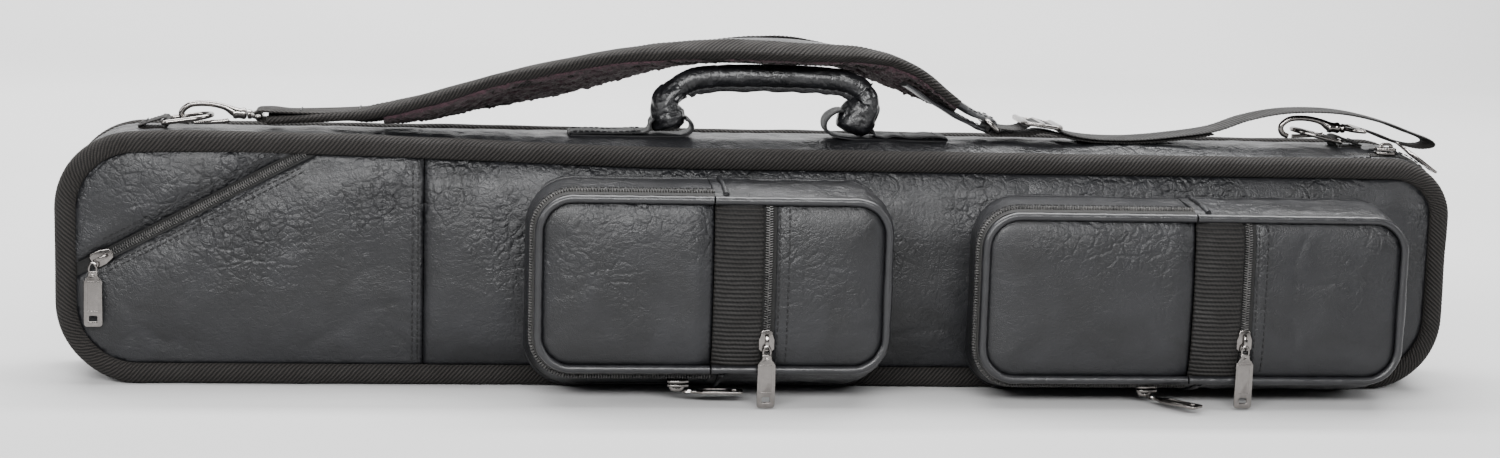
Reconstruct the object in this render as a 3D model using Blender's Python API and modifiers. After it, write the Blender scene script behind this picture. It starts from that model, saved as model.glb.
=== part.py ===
"""Soft billiard cue case with two front pockets, a carrying handle and a padded shoulder strap.

Standing on its long lower edge: +X runs along the case towards the opening end,
-Y is the pocket side and +Z is up (handle side).  The origin is at the bottom
centre of the whole object.  All lengths are in metres.
"""
import math

import bmesh
import bpy
from mathutils import Matrix, Vector

NAME = "cue_case"

# ------------------------------------------------------------------ dimensions
HALF_LENGTH = 0.425          # half the length of the case
HEIGHT = 0.150               # height of the case
Y_FRONT = -0.003             # outer face of the front panel
Y_BACK = 0.069               # outer face of the back panel
CORNERS = (0.046, 0.038, 0.045, 0.048)   # top left, top right, bottom right, bottom left
BINDING_WIDTH = 0.012        # twill tape seen from the front
BINDING_DEPTH = 0.008        # twill tape along the gusset
SHEET = 0.0025               # leatherette with its backing
GAP = 0.0003                 # clearance between sewn pieces
GUSSET_INSET = 0.002         # the gusset lies a little inside the binding

SEAM_X = -0.210              # vertical seam of the front panel
DIAGONAL_A = (-0.403, 0.073)  # lower end of the diagonal zip (x, z)
DIAGONAL_B = (-0.273, 0.1415)  # upper end
ZIP_TAPE = 0.007             # width of a closed zip between its two cloth edges

FLAP_X = 0.375               # hinge line of the end flap
MAIN_ZIP_Y = 0.012           # middle of the main zip
INNER_X = (-0.373, 0.369)    # length of the dividers

BUTT_CELL = 0.032            # height of a cell for a butt
BUTT_DEPTH = 0.0324
BUTT_WALL = 0.0016
SHAFT_CELL = 0.0152
SHAFT_DEPTH = 0.016
SHAFT_WALL = 0.0014

AXIS_Y = 0.033               # middle plane of handle and strap
HANDLE_Z = 0.158             # axis on which the handle and strap swing
GRIP_Z = 0.1865
GRIP_R = 0.0070
STRAP_LEAN = math.radians(20.0)
STRAP_BASE_Z = 0.150

PIPING_R = 0.0022
WIRE_R = 0.0018

# pocket: hinge x, base box, face box (x0, x1, z0, z1), base and face corner radius,
# webbing width, slash zip centre offset from the hinge line, slider height
POCKET_DEPTH = 0.0537
POCKETS = {
    "pocket_1": dict(hinge=-0.0415, base=(-0.1500, 0.0680, 0.0015, 0.1275), face=(-0.1455, 0.0640, 0.0200, 0.1245),
                     rb=0.028, rf=0.022, web=0.0275, slider_z=0.044),
    "pocket_2": dict(hinge=0.2470, base=(0.1210, 0.3860, 0.0010, 0.1200), face=(0.1180, 0.3785, 0.0150, 0.1175),
                     rb=0.026, rf=0.022, web=0.0275, slider_z=0.046),
}

# ------------------------------------------------------------------ scene setup
for old in list(bpy.data.objects):
    bpy.data.objects.remove(old, do_unlink=True)

parts = bpy.data.collections.new(NAME)
cutters = bpy.data.collections.new("cutters")
bpy.context.scene.collection.children.link(parts)
bpy.context.scene.collection.children.link(cutters)

MATERIALS = {
    "leather": ((0.028, 0.029, 0.034, 1.0), 0.42, 0.0),
    "twill": ((0.022, 0.020, 0.019, 1.0), 0.85, 0.0),
    "webbing": ((0.012, 0.011, 0.011, 1.0), 0.8, 0.0),
    "zip_tape": ((0.010, 0.010, 0.011, 1.0), 0.7, 0.0),
    "zip_metal": ((0.42, 0.40, 0.38, 1.0), 0.28, 1.0),
    "hardware": ((0.50, 0.47, 0.45, 1.0), 0.22, 1.0),
    "lining": ((0.030, 0.018, 0.021, 1.0), 0.95, 0.0),
    "piping": ((0.030, 0.030, 0.033, 1.0), 0.35, 0.0),
    "divider": ((0.02, 0.02, 0.02, 1.0), 0.9, 0.0),
}


def material(slot, node):
    mat = bpy.data.materials.new(slot + "_" + node)
    mat.use_nodes = True
    shader = mat.node_tree.nodes["Principled BSDF"]
    colour, rough, metal = MATERIALS[slot]
    shader.inputs["Base Color"].default_value = colour
    shader.inputs["Roughness"].default_value = rough
    shader.inputs["Metallic"].default_value = metal
    return mat


def add_object(node, data, slot, location=(0, 0, 0), rotation=(0, 0, 0), parent=None):
    obj = bpy.data.objects.new(node, data)
    parts.objects.link(obj)
    obj.location = location
    obj.rotation_euler = rotation
    data.materials.append(material(slot, node))
    if parent is not None:
        obj.parent = parent
        obj.matrix_parent_inverse = Matrix.Translation(parent.location).inverted()
    return obj


def pivot(name, location):
    """Empty on the axis of a joint; the moving pieces are its children."""
    empty = bpy.data.objects.new(name, None)
    empty.empty_display_size = 0.02
    empty.location = location
    parts.objects.link(empty)
    return empty


# ------------------------------------------------------------------ outlines
def arc(cx, cz, r, a0, a1, n):
    return [(cx + r * math.cos(math.radians(a0 + (a1 - a0) * i / n)),
             cz + r * math.sin(math.radians(a0 + (a1 - a0) * i / n))) for i in range(n + 1)]


def rounded(x0, x1, z0, z1, radii, n=6):
    """Rounded rectangle, anticlockwise seen from the front, from the top right corner."""
    tl, tr, br, bl = radii
    return (arc(x1 - tr, z1 - tr, tr, 0, 90, n) + arc(x0 + tl, z1 - tl, tl, 90, 180, n)
            + arc(x0 + bl, z0 + bl, bl, 180, 270, n) + arc(x1 - br, z0 + br, br, 270, 360, n))


def case_outline(inset, n=6):
    radii = [max(0.004, r - inset) for r in CORNERS]
    return rounded(-HALF_LENGTH + inset, HALF_LENGTH - inset, inset, HEIGHT - inset, radii, n)


def clip(poly, a, b, c):
    """Part of a polygon where a*x + b*z <= c."""
    out = []
    for i, p in enumerate(poly):
        q = poly[(i + 1) % len(poly)]
        dp = a * p[0] + b * p[1] - c
        dq = a * q[0] + b * q[1] - c
        if dp <= 0:
            out.append(p)
        if (dp < 0 < dq) or (dq < 0 < dp):
            t = dp / (dp - dq)
            out.append((p[0] + t * (q[0] - p[0]), p[1] + t * (q[1] - p[1])))
    return out


def half_path(side, xh, xe, z0, z1, rt, rb, n=6):
    """Open outline from (xh, z1) round the end xe to (xh, z0); side is -1 for left, +1 for right."""
    top = arc(xe - side * rt, z1 - rt, rt, 90, 90 - side * 90, n)
    bottom = arc(xe - side * rb, z0 + rb, rb, 90 - side * 90, 90 - side * 180, n)
    return [(xh, z1)] + top + bottom + [(xh, z0)]


def case_half(side, xh, inset, n=6):
    rt, rb = (CORNERS[1], CORNERS[2]) if side > 0 else (CORNERS[0], CORNERS[3])
    return half_path(side, xh, side * (HALF_LENGTH - inset), inset, HEIGHT - inset, rt - inset, rb - inset, n)


# ------------------------------------------------------------------ solids
def flat_curve(node, loops, half):
    data = bpy.data.curves.new(node, "CURVE")
    data.dimensions = "2D"
    data.fill_mode = "BOTH"
    data.extrude = half
    for loop in loops:
        spline = data.splines.new("POLY")
        spline.points.add(len(loop) - 1)
        for point, (u, v) in zip(spline.points, loop):
            point.co = (u, v, 0.0, 1.0)
        spline.use_cyclic_u = True
    return data


def plate_xz(node, loops, y0, y1, slot, parent=None, at=(0.0, 0.0)):
    """Flat outline in X and Z between y0 and y1."""
    moved = [[(x - at[0], z - at[1]) for x, z in loop] for loop in loops]
    data = flat_curve(node, moved, (y1 - y0) / 2)
    return add_object(node, data, slot, (at[0], (y0 + y1) / 2, at[1]), (math.pi / 2, 0, 0), parent)


def extrusion_x(node, loops, x0, x1, slot):
    """Flat outline in Y and Z drawn out along X."""
    data = flat_curve(node, loops, (x1 - x0) / 2)
    return add_object(node, data, slot, ((x0 + x1) / 2, 0, 0), (math.pi / 2, 0, math.pi / 2))


def tube(node, points, radius, slot, resolution=1, radii=None, parent=None, cyclic=False):
    data = bpy.data.curves.new(node, "CURVE")
    data.dimensions = "3D"
    data.bevel_depth = radius
    data.bevel_resolution = resolution
    data.use_fill_caps = not cyclic
    spline = data.splines.new("POLY")
    spline.points.add(len(points) - 1)
    origin = Vector(points[0])
    for i, point in enumerate(points):
        p = Vector(point) - origin
        spline.points[i].co = (p.x, p.y, p.z, 1.0)
        if radii:
            spline.points[i].radius = radii[i]
    spline.use_cyclic_u = cyclic
    spline.use_smooth = True
    return add_object(node, data, slot, origin, (0, 0, 0), parent)


def as_mesh(obj):
    """Turns a curve object into a mesh object, with its caps welded on."""
    depsgraph = bpy.context.evaluated_depsgraph_get()
    bpy.context.view_layer.update()
    mesh = bpy.data.meshes.new_from_object(obj.evaluated_get(depsgraph))
    bm = bmesh.new()
    bm.from_mesh(mesh)
    bmesh.ops.remove_doubles(bm, verts=bm.verts, dist=0.00001)
    bmesh.ops.recalc_face_normals(bm, faces=bm.faces)
    bm.to_mesh(mesh)
    bm.free()
    name, matrix = obj.name, obj.matrix_world.copy()
    bpy.data.objects.remove(obj, do_unlink=True)
    new = bpy.data.objects.new(name, mesh)
    parts.objects.link(new)
    new.matrix_world = matrix
    return new


def loft(node, sections, slot, parent=None, closed_ends=True, smooth=False):
    """Skin over sections that have the same number of points but unlike shapes."""
    bm = bmesh.new()
    rings = [[bm.verts.new(p) for p in section] for section in sections]
    count = len(rings[0])
    for a, b in zip(rings, rings[1:]):
        for i in range(count):
            j = (i + 1) % count
            bm.faces.new((a[i], a[j], b[j], b[i]))
    bm.faces.new(list(reversed(rings[0])))
    bm.faces.new(rings[-1])
    bmesh.ops.triangulate(bm, faces=bm.faces[:])
    bmesh.ops.recalc_face_normals(bm, faces=bm.faces)
    mesh = bpy.data.meshes.new(node)
    bm.to_mesh(mesh)
    bm.free()
    if smooth:
        mesh.shade_smooth()
        mesh.set_sharp_from_angle(angle=math.radians(40))
    return add_object(node, mesh, slot, (0, 0, 0), (0, 0, 0), parent)


def block(node, size, centre, slot, rotation=(0, 0, 0), bevel=0.0, parent=None, local_pivot=(0, 0, 0)):
    bm = bmesh.new()
    bmesh.ops.create_cube(bm, size=1.0)
    bmesh.ops.scale(bm, vec=size, verts=bm.verts)
    bmesh.ops.translate(bm, vec=[-p for p in local_pivot], verts=bm.verts)
    mesh = bpy.data.meshes.new(node)
    bm.to_mesh(mesh)
    bm.free()
    obj = add_object(node, mesh, slot, centre, rotation, parent)
    if bevel:
        mod = obj.modifiers.new("edges", "BEVEL")
        mod.width = bevel
        mod.segments = 1
        mod.limit_method = "ANGLE"
    return obj


# ------------------------------------------------------------------ the case
outer = case_outline(0.0)
plate_xz("front_binding", [outer, case_outline(BINDING_WIDTH)], Y_FRONT, Y_FRONT + BINDING_DEPTH, "twill")

inner = case_outline(BINDING_WIDTH + GAP)
dx, dz = DIAGONAL_B[0] - DIAGONAL_A[0], DIAGONAL_B[1] - DIAGONAL_A[1]
length = math.hypot(dx, dz)
ux, uz = dx / length, dz / length
nx, nz = -uz, ux                       # points up and to the left, to the corner piece
mid = nx * DIAGONAL_A[0] + nz * DIAGONAL_A[1]
half_tape = ZIP_TAPE / 2
left_field = clip(inner, 1, 0, SEAM_X - GAP / 2)
plate_xz("front_panel", [clip(inner, -1, 0, -(SEAM_X + GAP / 2))], Y_FRONT, Y_FRONT + SHEET, "leather")
plate_xz("front_panel_left", [clip(left_field, nx, nz, mid - half_tape - GAP)], Y_FRONT, Y_FRONT + SHEET, "leather")
plate_xz("front_panel_corner", [clip(left_field, -nx, -nz, -(mid + half_tape + GAP))], Y_FRONT, Y_FRONT + SHEET, "leather")
plate_xz("diagonal_zip", [clip(clip(left_field, nx, nz, mid + half_tape), -nx, -nz, -(mid - half_tape))],
         Y_FRONT + 0.0004, Y_FRONT + 0.0024, "zip_tape")

plate_xz("back_panel", [clip(inner, 1, 0, FLAP_X)], Y_BACK - SHEET, Y_BACK, "leather")
back_binding = case_half(-1, FLAP_X, 0.0) + list(reversed(case_half(-1, FLAP_X, BINDING_WIDTH)))
plate_xz("back_binding", [back_binding], Y_BACK - BINDING_DEPTH, Y_BACK, "twill")

g0, g1 = Y_FRONT + BINDING_DEPTH + GAP, Y_BACK - BINDING_DEPTH - GAP
plate_xz("gusset_band", [case_outline(GUSSET_INSET), case_outline(GUSSET_INSET + SHEET)], g0, g1, "leather")
gusset = as_mesh(bpy.data.objects["gusset_band"])
notch = block("gusset_notch", (0.10, 0.10, 0.30), (FLAP_X + 0.05, MAIN_ZIP_Y - 0.003 - GAP + 0.05, 0.075), "leather")
parts.objects.unlink(notch)
cutters.objects.link(notch)
notch.hide_render = True
notch.display_type = "WIRE"
cut = gusset.modifiers.new("end_opening", "BOOLEAN")
cut.operation = "DIFFERENCE"
cut.solver = "EXACT"
cut.object = notch


def c_ring(node, inset0, inset1, xh, y0, y1, slot, parent=None, at=(0.0, 0.0)):
    loop = case_half(1, xh, inset0) + list(reversed(case_half(1, xh, inset1)))
    return plate_xz(node, [loop], y0, y1, slot, parent, at)


c_ring("main_zip_tape", GUSSET_INSET + 0.0003, GUSSET_INSET + 0.0021, FLAP_X + GAP,
       MAIN_ZIP_Y - 0.003, MAIN_ZIP_Y + 0.003, "zip_tape")

# end flap: the rear of the end gusset with the end of the back panel
flap = pivot("end_flap_axis", (FLAP_X, Y_BACK, 0.075))
hinge = (FLAP_X, 0.075)
c_ring("end_flap_gusset", GUSSET_INSET, GUSSET_INSET + SHEET, FLAP_X + GAP, MAIN_ZIP_Y + 0.003 + GAP, g1, "leather", flap, hinge)
c_ring("end_flap_binding", 0.0, BINDING_WIDTH, FLAP_X + GAP, Y_BACK - BINDING_DEPTH, Y_BACK, "twill", flap, hinge)
plate_xz("end_flap_panel", [clip(inner, -1, 0, -(FLAP_X + GAP))], Y_BACK - SHEET, Y_BACK, "leather", flap, hinge)


# dividers: combs drawn out along the case
def comb(back_y, wall, cells, cell, depth, z_mid):
    """Comb section in Y and Z with its back wall at back_y and open cells towards -Y."""
    total = cells * cell + (cells + 1) * wall
    z = z_mid - total / 2
    loop = [(back_y + wall, z), (back_y + wall, z + total)]
    top = z + total
    for i in range(cells + 1):
        loop.append((back_y - depth, top - i * (cell + wall)))
        loop.append((back_y - depth, top - i * (cell + wall) - wall))
        if i < cells:
            loop.append((back_y, top - i * (cell + wall) - wall))
            loop.append((back_y, top - (i + 1) * (cell + wall)))
    return loop


BUTT_BACK = 0.0586
SHAFT_BACK = 0.0243
extrusion_x("butt_divider", [comb(BUTT_BACK, BUTT_WALL, 4, BUTT_CELL, BUTT_DEPTH, 0.075)], INNER_X[0], INNER_X[1], "divider")
extrusion_x("shaft_divider", [comb(SHAFT_BACK, SHAFT_WALL, 8, SHAFT_CELL, SHAFT_DEPTH, 0.075)], INNER_X[0], INNER_X[1], "divider")


# ------------------------------------------------------------------ zip sliders and pulls
def pull_outline(total, width):
    """Pull tab hanging from the origin along -v, with a blank window near its tip."""
    neck = 0.0016
    w = width / 2
    body = [(-neck, 0.0014), (neck, 0.0014), (neck, -0.006), (w - 0.0015, -0.0095), (w, -0.0125),
            (w, -total + 0.002), (w - 0.002, -total), (-w + 0.002, -total), (-w, -total + 0.002),
            (-w, -0.0125), (-w + 0.0015, -0.0095), (-neck, -0.006)]
    k = w - 0.0017
    hole = [(-k, -total + 0.0022), (k, -total + 0.0022), (k, -total + 0.0072), (-k, -total + 0.0072)]
    return [body, hole]


def zip_slider(node, centre, rotation, axis_parent=None):
    """Slider body, 12 mm along its zip."""
    return block(node, (0.012, 0.0042, 0.0088), centre, "zip_metal", rotation, 0.0012, axis_parent)


def zip_pull(node, at, rotation, total=0.036, width=0.0092, parent=None):
    data = flat_curve(node, pull_outline(total, width), 0.0008)
    return add_object(node, data, "zip_metal", at, rotation, parent)


angle = math.atan2(uz, ux)
dcx, dcz = DIAGONAL_A[0] + 0.006 * ux, DIAGONAL_A[1] + 0.006 * uz
zip_slider("diagonal_slider", (dcx, Y_FRONT - 0.0024, dcz), (0, -angle, 0))
zip_pull("diagonal_pull", (dcx - 0.0045, Y_FRONT - 0.0062, dcz - 0.0045), (math.pi / 2, 0, math.radians(0)))

# main slider sits where the top gusset turns down over the end, so it travels round that corner
corner_x, corner_z = HALF_LENGTH - CORNERS[1], HEIGHT - CORNERS[1]
zip_slider("main_slider", (corner_x - 0.001, MAIN_ZIP_Y, HEIGHT - GUSSET_INSET + 0.0024), (math.pi / 2, 0, 0))
main_pull = zip_pull("main_pull", (corner_x + 0.0075, MAIN_ZIP_Y, HEIGHT + 0.0036), (0, 0, 0), total=0.030)
drop = math.radians(35)
along = Vector((math.cos(drop), 0, -math.sin(drop)))     # direction of the tab
across = Vector((0, 1, 0))
normal = across.cross(-along)
main_pull.rotation_euler = Matrix((across, -along, normal)).transposed().to_euler()


# ------------------------------------------------------------------ pockets
def section(pocket, side, t, inset, n=5):
    b, f = pocket["base"], pocket["face"]
    mix = [b[i] + t * (f[i] - b[i]) for i in range(4)]
    r = pocket["rb"] + t * (pocket["rf"] - pocket["rb"]) - inset
    xe = mix[0] + inset if side < 0 else mix[1] - inset
    xh = pocket["hinge"] + side * GAP / 2
    y = Y_FRONT - GAP - t * POCKET_DEPTH
    return [(x, y, z) for x, z in half_path(side, xh, xe, mix[2] + inset, mix[3] - inset, r, r, n)]


def pocket_band(node, pocket, side, t0, t1, slot, parent=None):
    """Strip of pocket side wall: half the way round, from depth t0 to depth t1."""
    o0, o1 = section(pocket, side, t0, 0.0), section(pocket, side, t1, 0.0)
    i0, i1 = section(pocket, side, t0, SHEET), section(pocket, side, t1, SHEET)
    sections = [[o0[i], o1[i], i1[i], i0[i]] for i in range(len(o0))]
    return loft(node, sections, slot, parent)


ZIP_T0, ZIP_T1 = 0.90, 0.905
for name, pocket in POCKETS.items():
    hx = pocket["hinge"]
    face = pocket["face"]
    y_rim = Y_FRONT - GAP - POCKET_DEPTH            # front rim of the side wall
    y_panel = (y_rim - GAP - SHEET, y_rim - GAP)
    y_axis = y_rim - GAP - 2 * PIPING_R - 0.0002   # just in front of the piping, so that nothing turns into it
    axis = pivot(name + "_flap_axis", (hx, y_axis, 0.07))
    at = (hx, 0.07)
    pocket_band(name + "_gusset", pocket, 1, 0.0, 1.0, "leather")
    pocket_band(name + "_zip_gusset", pocket, -1, 0.0, ZIP_T0, "leather")
    strip = pocket_band(name + "_flap_gusset", pocket, -1, ZIP_T1, 1.0, "leather")
    strip.location = (0, 0, 0)
    strip.parent = axis
    strip.matrix_parent_inverse = Matrix.Translation(axis.location).inverted()
    r = pocket["rf"] - 0.0046
    inset = 0.0046
    field = rounded(face[0] + inset, face[1] - inset, face[2] + inset, face[3] - inset, (r, r, r, r), 5)
    web = pocket["web"]
    zip_w = 0.0090
    cuts = (hx, hx + web, hx + web + zip_w)
    plate_xz(name + "_flap_panel", [clip(field, 1, 0, hx - GAP / 2)], *y_panel, "leather", axis, at)
    plate_xz(name + "_webbing", [clip(clip(field, -1, 0, -(hx + GAP / 2)), 1, 0, cuts[1] - GAP / 2)],
             y_panel[0] + 0.0004, y_panel[1], "webbing")
    plate_xz(name + "_slash_zip", [clip(clip(field, -1, 0, -(cuts[1] + GAP / 2)), 1, 0, cuts[2] - GAP / 2)],
             y_panel[0] + 0.0006, y_panel[1], "zip_tape")
    plate_xz(name + "_panel", [clip(field, -1, 0, -(cuts[2] + GAP / 2))], *y_panel, "leather")
    pr = pocket["rf"] - 0.0021
    y_pipe = y_rim - GAP - PIPING_R
    for side, node, holder in ((-1, name + "_flap_piping", axis), (1, name + "_piping", None)):
        xe = face[0] + 0.0021 if side < 0 else face[1] - 0.0021
        run = half_path(side, hx + side * GAP, xe, face[2] + 0.0021, face[3] - 0.0021, pr, pr, 5)
        tube(node, [(x, y_pipe, z) for x, z in run], PIPING_R, "piping", 1, None, holder)
    # slash zip slider, low on its zip, with the pull hanging down in front
    sx = cuts[1] + zip_w / 2
    zip_slider(name + "_slash_slider", (sx, y_panel[0] - 0.0020, pocket["slider_z"] - 0.004), (0, math.pi / 2, 0))
    zip_pull(name + "_slash_pull", (sx, y_panel[0] - 0.0058, pocket["slider_z"] - 0.0082), (math.pi / 2, 0, 0),
             total=min(0.036, pocket["slider_z"] - 0.0094))

# sliders under the pockets, at the lower end of each pocket's side zip
UNDER = {"pocket_1": (-0.0600, 0.0, 0.0105), "pocket_2": (0.2240, -50.0, 0.0085)}
for name, (sx, turn, sz) in UNDER.items():
    sy = Y_FRONT - GAP - 0.83 * POCKET_DEPTH
    zip_slider(name + "_gusset_slider", (sx, sy, sz), (math.radians(90), 0, 0))
    d = math.radians(turn)
    along = Vector((math.cos(d), math.sin(d), 0.0))
    across = Vector((-math.sin(d), math.cos(d), 0.0))
    normal = across.cross(-along)
    start = Vector((sx, sy, sz - 0.0041)) + along * 0.0045
    obj = zip_pull(name + "_gusset_pull", start, (0, 0, 0), total=0.034)
    obj.rotation_euler = Matrix((across, -along, normal)).transposed().to_euler()

# ------------------------------------------------------------------ handle
TOP = HEIGHT - GUSSET_INSET + GAP       # top of the gusset
handle = pivot("handle_axis", (0.0, AXIS_Y, HANDLE_Z))


def block_between(node, x0, x1, width, z0, z1, slot, bevel=0.0):
    return block(node, (x1 - x0, width, z1 - z0), ((x0 + x1) / 2, AXIS_Y, (z0 + z1) / 2), slot, (0, 0, 0), bevel)


block_between("handle_tab_left", -0.123, -0.049, 0.026, TOP, TOP + 0.0024, "leather", 0.0008)
block_between("handle_tab_right", 0.038, 0.110, 0.026, TOP, TOP + 0.0024, "leather", 0.0008)


def on_axis(points):
    return [(x, AXIS_Y, z) for x, z in points]


tube("handle_end_left", on_axis([(-0.0625, 0.1522), (-0.0630, 0.1545), (-0.0635, 0.1580), (-0.0640, 0.1630), (-0.0638, 0.1690),
                                 (-0.0610, 0.1740), (-0.0578, 0.1772)]), 0.0092, "leather", 2,
     [0.30, 0.58, 0.72, 0.98, 1.0, 1.0, 0.92], handle)
tube("handle_end_right", on_axis([(0.0535, 0.1522), (0.0540, 0.1545), (0.0552, 0.1580), (0.0585, 0.1630), (0.0620, 0.1690),
                                  (0.0612, 0.1740), (0.0580, 0.1772)]), 0.0092, "leather", 2,
     [0.30, 0.58, 0.72, 0.98, 1.0, 1.0, 0.92], handle)
grip = [(-0.0573, 0.1777), (-0.0540, 0.1808), (-0.0470, 0.1840), (-0.0360, 0.1858), (-0.0200, 0.1865), (0.0, 0.1868),
        (0.0200, 0.1865), (0.0360, 0.1858), (0.0470, 0.1840), (0.0540, 0.1809), (0.0575, 0.1777)]
tube("handle_grip", on_axis(grip), GRIP_R, "leather", 2, None, handle)


# ------------------------------------------------------------------ shoulder strap
def smooth_path(knots, per=3):
    """Catmull-Rom curve through knots of any number of values."""
    out = []
    for i in range(len(knots) - 1):
        p0 = knots[max(i - 1, 0)]
        p1, p2 = knots[i], knots[i + 1]
        p3 = knots[min(i + 2, len(knots) - 1)]
        for k in range(per):
            t = k / per
            out.append(tuple(0.5 * (2 * b + (c - a) * t + (2 * a - 5 * b + 4 * c - d) * t * t
                                    + (3 * b - a - 3 * c + d) * t ** 3) for a, b, c, d in zip(p0, p1, p2, p3)))
    out.append(tuple(knots[-1]))
    return out


def ribbon(node, rows, slot, parent=None):
    """Strap of rows (x, height over the base line, width, thickness, lean)."""
    sections = []
    for i, (x, h, width, thick, lean) in enumerate(rows):
        a, b = rows[max(i - 1, 0)], rows[min(i + 1, len(rows) - 1)]
        t = Vector((b[0] - a[0], b[1] - a[1])).normalized()
        n = (-t.y, t.x)
        ring = []
        for s, w in ((1, -1), (1, 1), (-1, 1), (-1, -1)):
            px = x + s * n[0] * thick / 2
            ph = h + s * n[1] * thick / 2
            wy = w * width / 2
            ring.append((px, AXIS_Y + ph * math.sin(lean) + wy * math.cos(lean),
                         STRAP_BASE_Z + ph * math.cos(lean) - wy * math.sin(lean)))
        sections.append(ring)
    return loft(node, sections, slot, parent)


strap = pivot("strap_axis", (0.0, AXIS_Y, HANDLE_Z))
L = STRAP_LEAN
pad_knots = [(-0.304, 0.0055, 0.026, 0.0040, 0.0), (-0.282, 0.0070, 0.027, 0.0045, 0.02), (-0.258, 0.0085, 0.030, 0.0060, 0.10 * L),
             (-0.240, 0.0100, 0.044, 0.0080, 0.25 * L), (-0.205, 0.0165, 0.054, 0.0090, 0.55 * L), (-0.165, 0.0265, 0.056, 0.0090, 0.85 * L),
             (-0.130, 0.0345, 0.056, 0.0090, L), (-0.095, 0.0435, 0.056, 0.0090, L), (-0.060, 0.0500, 0.056, 0.0090, L),
             (-0.027, 0.0530, 0.056, 0.0090, L), (0.0, 0.0535, 0.056, 0.0090, L), (0.027, 0.0525, 0.056, 0.0090, L),
             (0.053, 0.0495, 0.056, 0.0090, L), (0.074, 0.0440, 0.056, 0.0088, 0.95 * L), (0.092, 0.0360, 0.054, 0.0080, 0.75 * L),
             (0.112, 0.0235, 0.044, 0.0065, 0.45 * L), (0.127, 0.0140, 0.032, 0.0045, 0.2 * L), (0.1355, 0.0090, 0.028, 0.0040, 0.0)]
ribbon("strap_pad", smooth_path(pad_knots, 2), "leather", strap)
web_knots = [(0.1375, 0.0085), (0.150, 0.0085), (0.168, 0.0072), (0.185, 0.0042), (0.200, 0.0022), (0.214, 0.0016), (0.230, 0.0022), (0.252, 0.0045),
             (0.279, 0.0085), (0.300, 0.0155), (0.322, 0.0202), (0.345, 0.0217), (0.366, 0.0202), (0.388, 0.0155),
             (0.406, 0.0092), (0.4175, 0.0052), (0.4215, 0.0022), (0.4175, 0.0002), (0.408, -0.0002), (0.396, 0.0022), (0.384, 0.0068), (0.3775, 0.0095)]
ribbon("strap_webbing", [(x, h, 0.0270, 0.0016, 0.0) for x, h in smooth_path(web_knots, 2)], "webbing", strap)

# tri-glide: plate with two slots, standing clear round the webbing
GLIDE_X, GLIDE_Z = 0.1680, STRAP_BASE_Z + 0.0072
gl = 0.026
slot_w = 0.0290
frame = [(-gl / 2, -0.0185), (gl / 2, -0.0185), (gl / 2, 0.0185), (-gl / 2, 0.0185)]
hole_a = [(-gl / 2 + 0.003, -slot_w / 2), (-0.0016, -slot_w / 2), (-0.0016, slot_w / 2), (-gl / 2 + 0.003, slot_w / 2)]
hole_b = [(-x, z) for x, z in hole_a]
glide = add_object("tri_glide", flat_curve("tri_glide", [frame, hole_a, list(reversed(hole_b))], 0.0010), "hardware",
                   (GLIDE_X, AXIS_Y, GLIDE_Z + 0.0026), (0, math.radians(8), 0), strap)


# ------------------------------------------------------------------ D-rings, hooks and gates
def d_ring(node, bar_x, bar_z, apex_x, apex_z, half_width, slot="hardware"):
    """Wire ring with a straight bar along Y and a round bow."""
    reach = math.hypot(apex_x - bar_x, apex_z - bar_z)
    ex, ez = (apex_x - bar_x) / reach, (apex_z - bar_z) / reach
    pts = []
    n = 10
    straight = reach - half_width
    for i in range(n + 1):
        a = math.radians(-90 + 180 * i / n)
        u, v = straight + half_width * math.cos(a), half_width * math.sin(a)
        pts.append((bar_x + u * ex, AXIS_Y + v, bar_z + u * ez))
    pts += [(bar_x, AXIS_Y + half_width, bar_z), (bar_x, AXIS_Y - half_width, bar_z)]
    return tube(node, pts, 0.0015, slot, 1, None, None, True)


d_ring("dring_left", -0.3645, 0.1532, -0.3370, 0.1572, 0.0125)
d_ring("dring_right", 0.3600, 0.1532, 0.3325, 0.1595, 0.0125)


def wrap_tab(node, x_bar, side, z_bar):
    """Hook-shaped outline: a flat tail on the gusset, up round the outside of the bar and over it."""
    r0, r1 = 0.0019, 0.0033
    tail = x_bar - side * 0.014
    outer = [(tail, TOP), (x_bar, TOP)] + [
        (x_bar + side * r1 * math.sin(math.radians(a)), z_bar - r1 * math.cos(math.radians(a))) for a in range(45, 226, 30)]
    end = (x_bar + side * r0 * math.sin(math.radians(225)), z_bar - r0 * math.cos(math.radians(225)))
    inner_arc = [end] + [
        (x_bar + side * r0 * math.sin(math.radians(a)), z_bar - r0 * math.cos(math.radians(a))) for a in range(195, 14, -30)]
    inner_arc += [(x_bar - side * 0.001, TOP + 0.0016), (tail, TOP + 0.0016)]
    loop = outer + inner_arc
    return plate_xz(node, [loop], AXIS_Y - 0.0095, AXIS_Y + 0.0095, "webbing")


wrap_tab("dring_tab_left", -0.3645, 1, 0.1532)
wrap_tab("dring_tab_right", 0.3600, -1, 0.1532)


def hook(node, x_swivel, side, z_mid):
    """Snap hook in the XZ plane: barrel at x_swivel, nose at the far end, open on its lower side."""
    rel = [(0.000, 0.0), (0.006, 0.0010), (0.012, 0.0040), (0.020, 0.0058), (0.028, 0.0060), (0.033, 0.0050),
           (0.0370, 0.0020), (0.0378, -0.0010), (0.0362, -0.0040), (0.0330, -0.0054)]
    pts = [(x_swivel - side * u, AXIS_Y, z_mid + v) for u, v in rel]
    radii = [1.7, 1.7, 1.1, 1, 1, 1, 1, 1, 1, 0.9]
    return tube(node, pts, WIRE_R, "hardware", 1, radii, None)


def gate(node, x_swivel, side, z_mid):
    pts = [(x_swivel - side * u, AXIS_Y, z_mid + v) for u, v in ((0.0115, -0.0042), (0.020, -0.0050), (0.0305, -0.0054))]
    return tube(node, pts, 0.0012, "hardware", 1, None, None)


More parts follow.
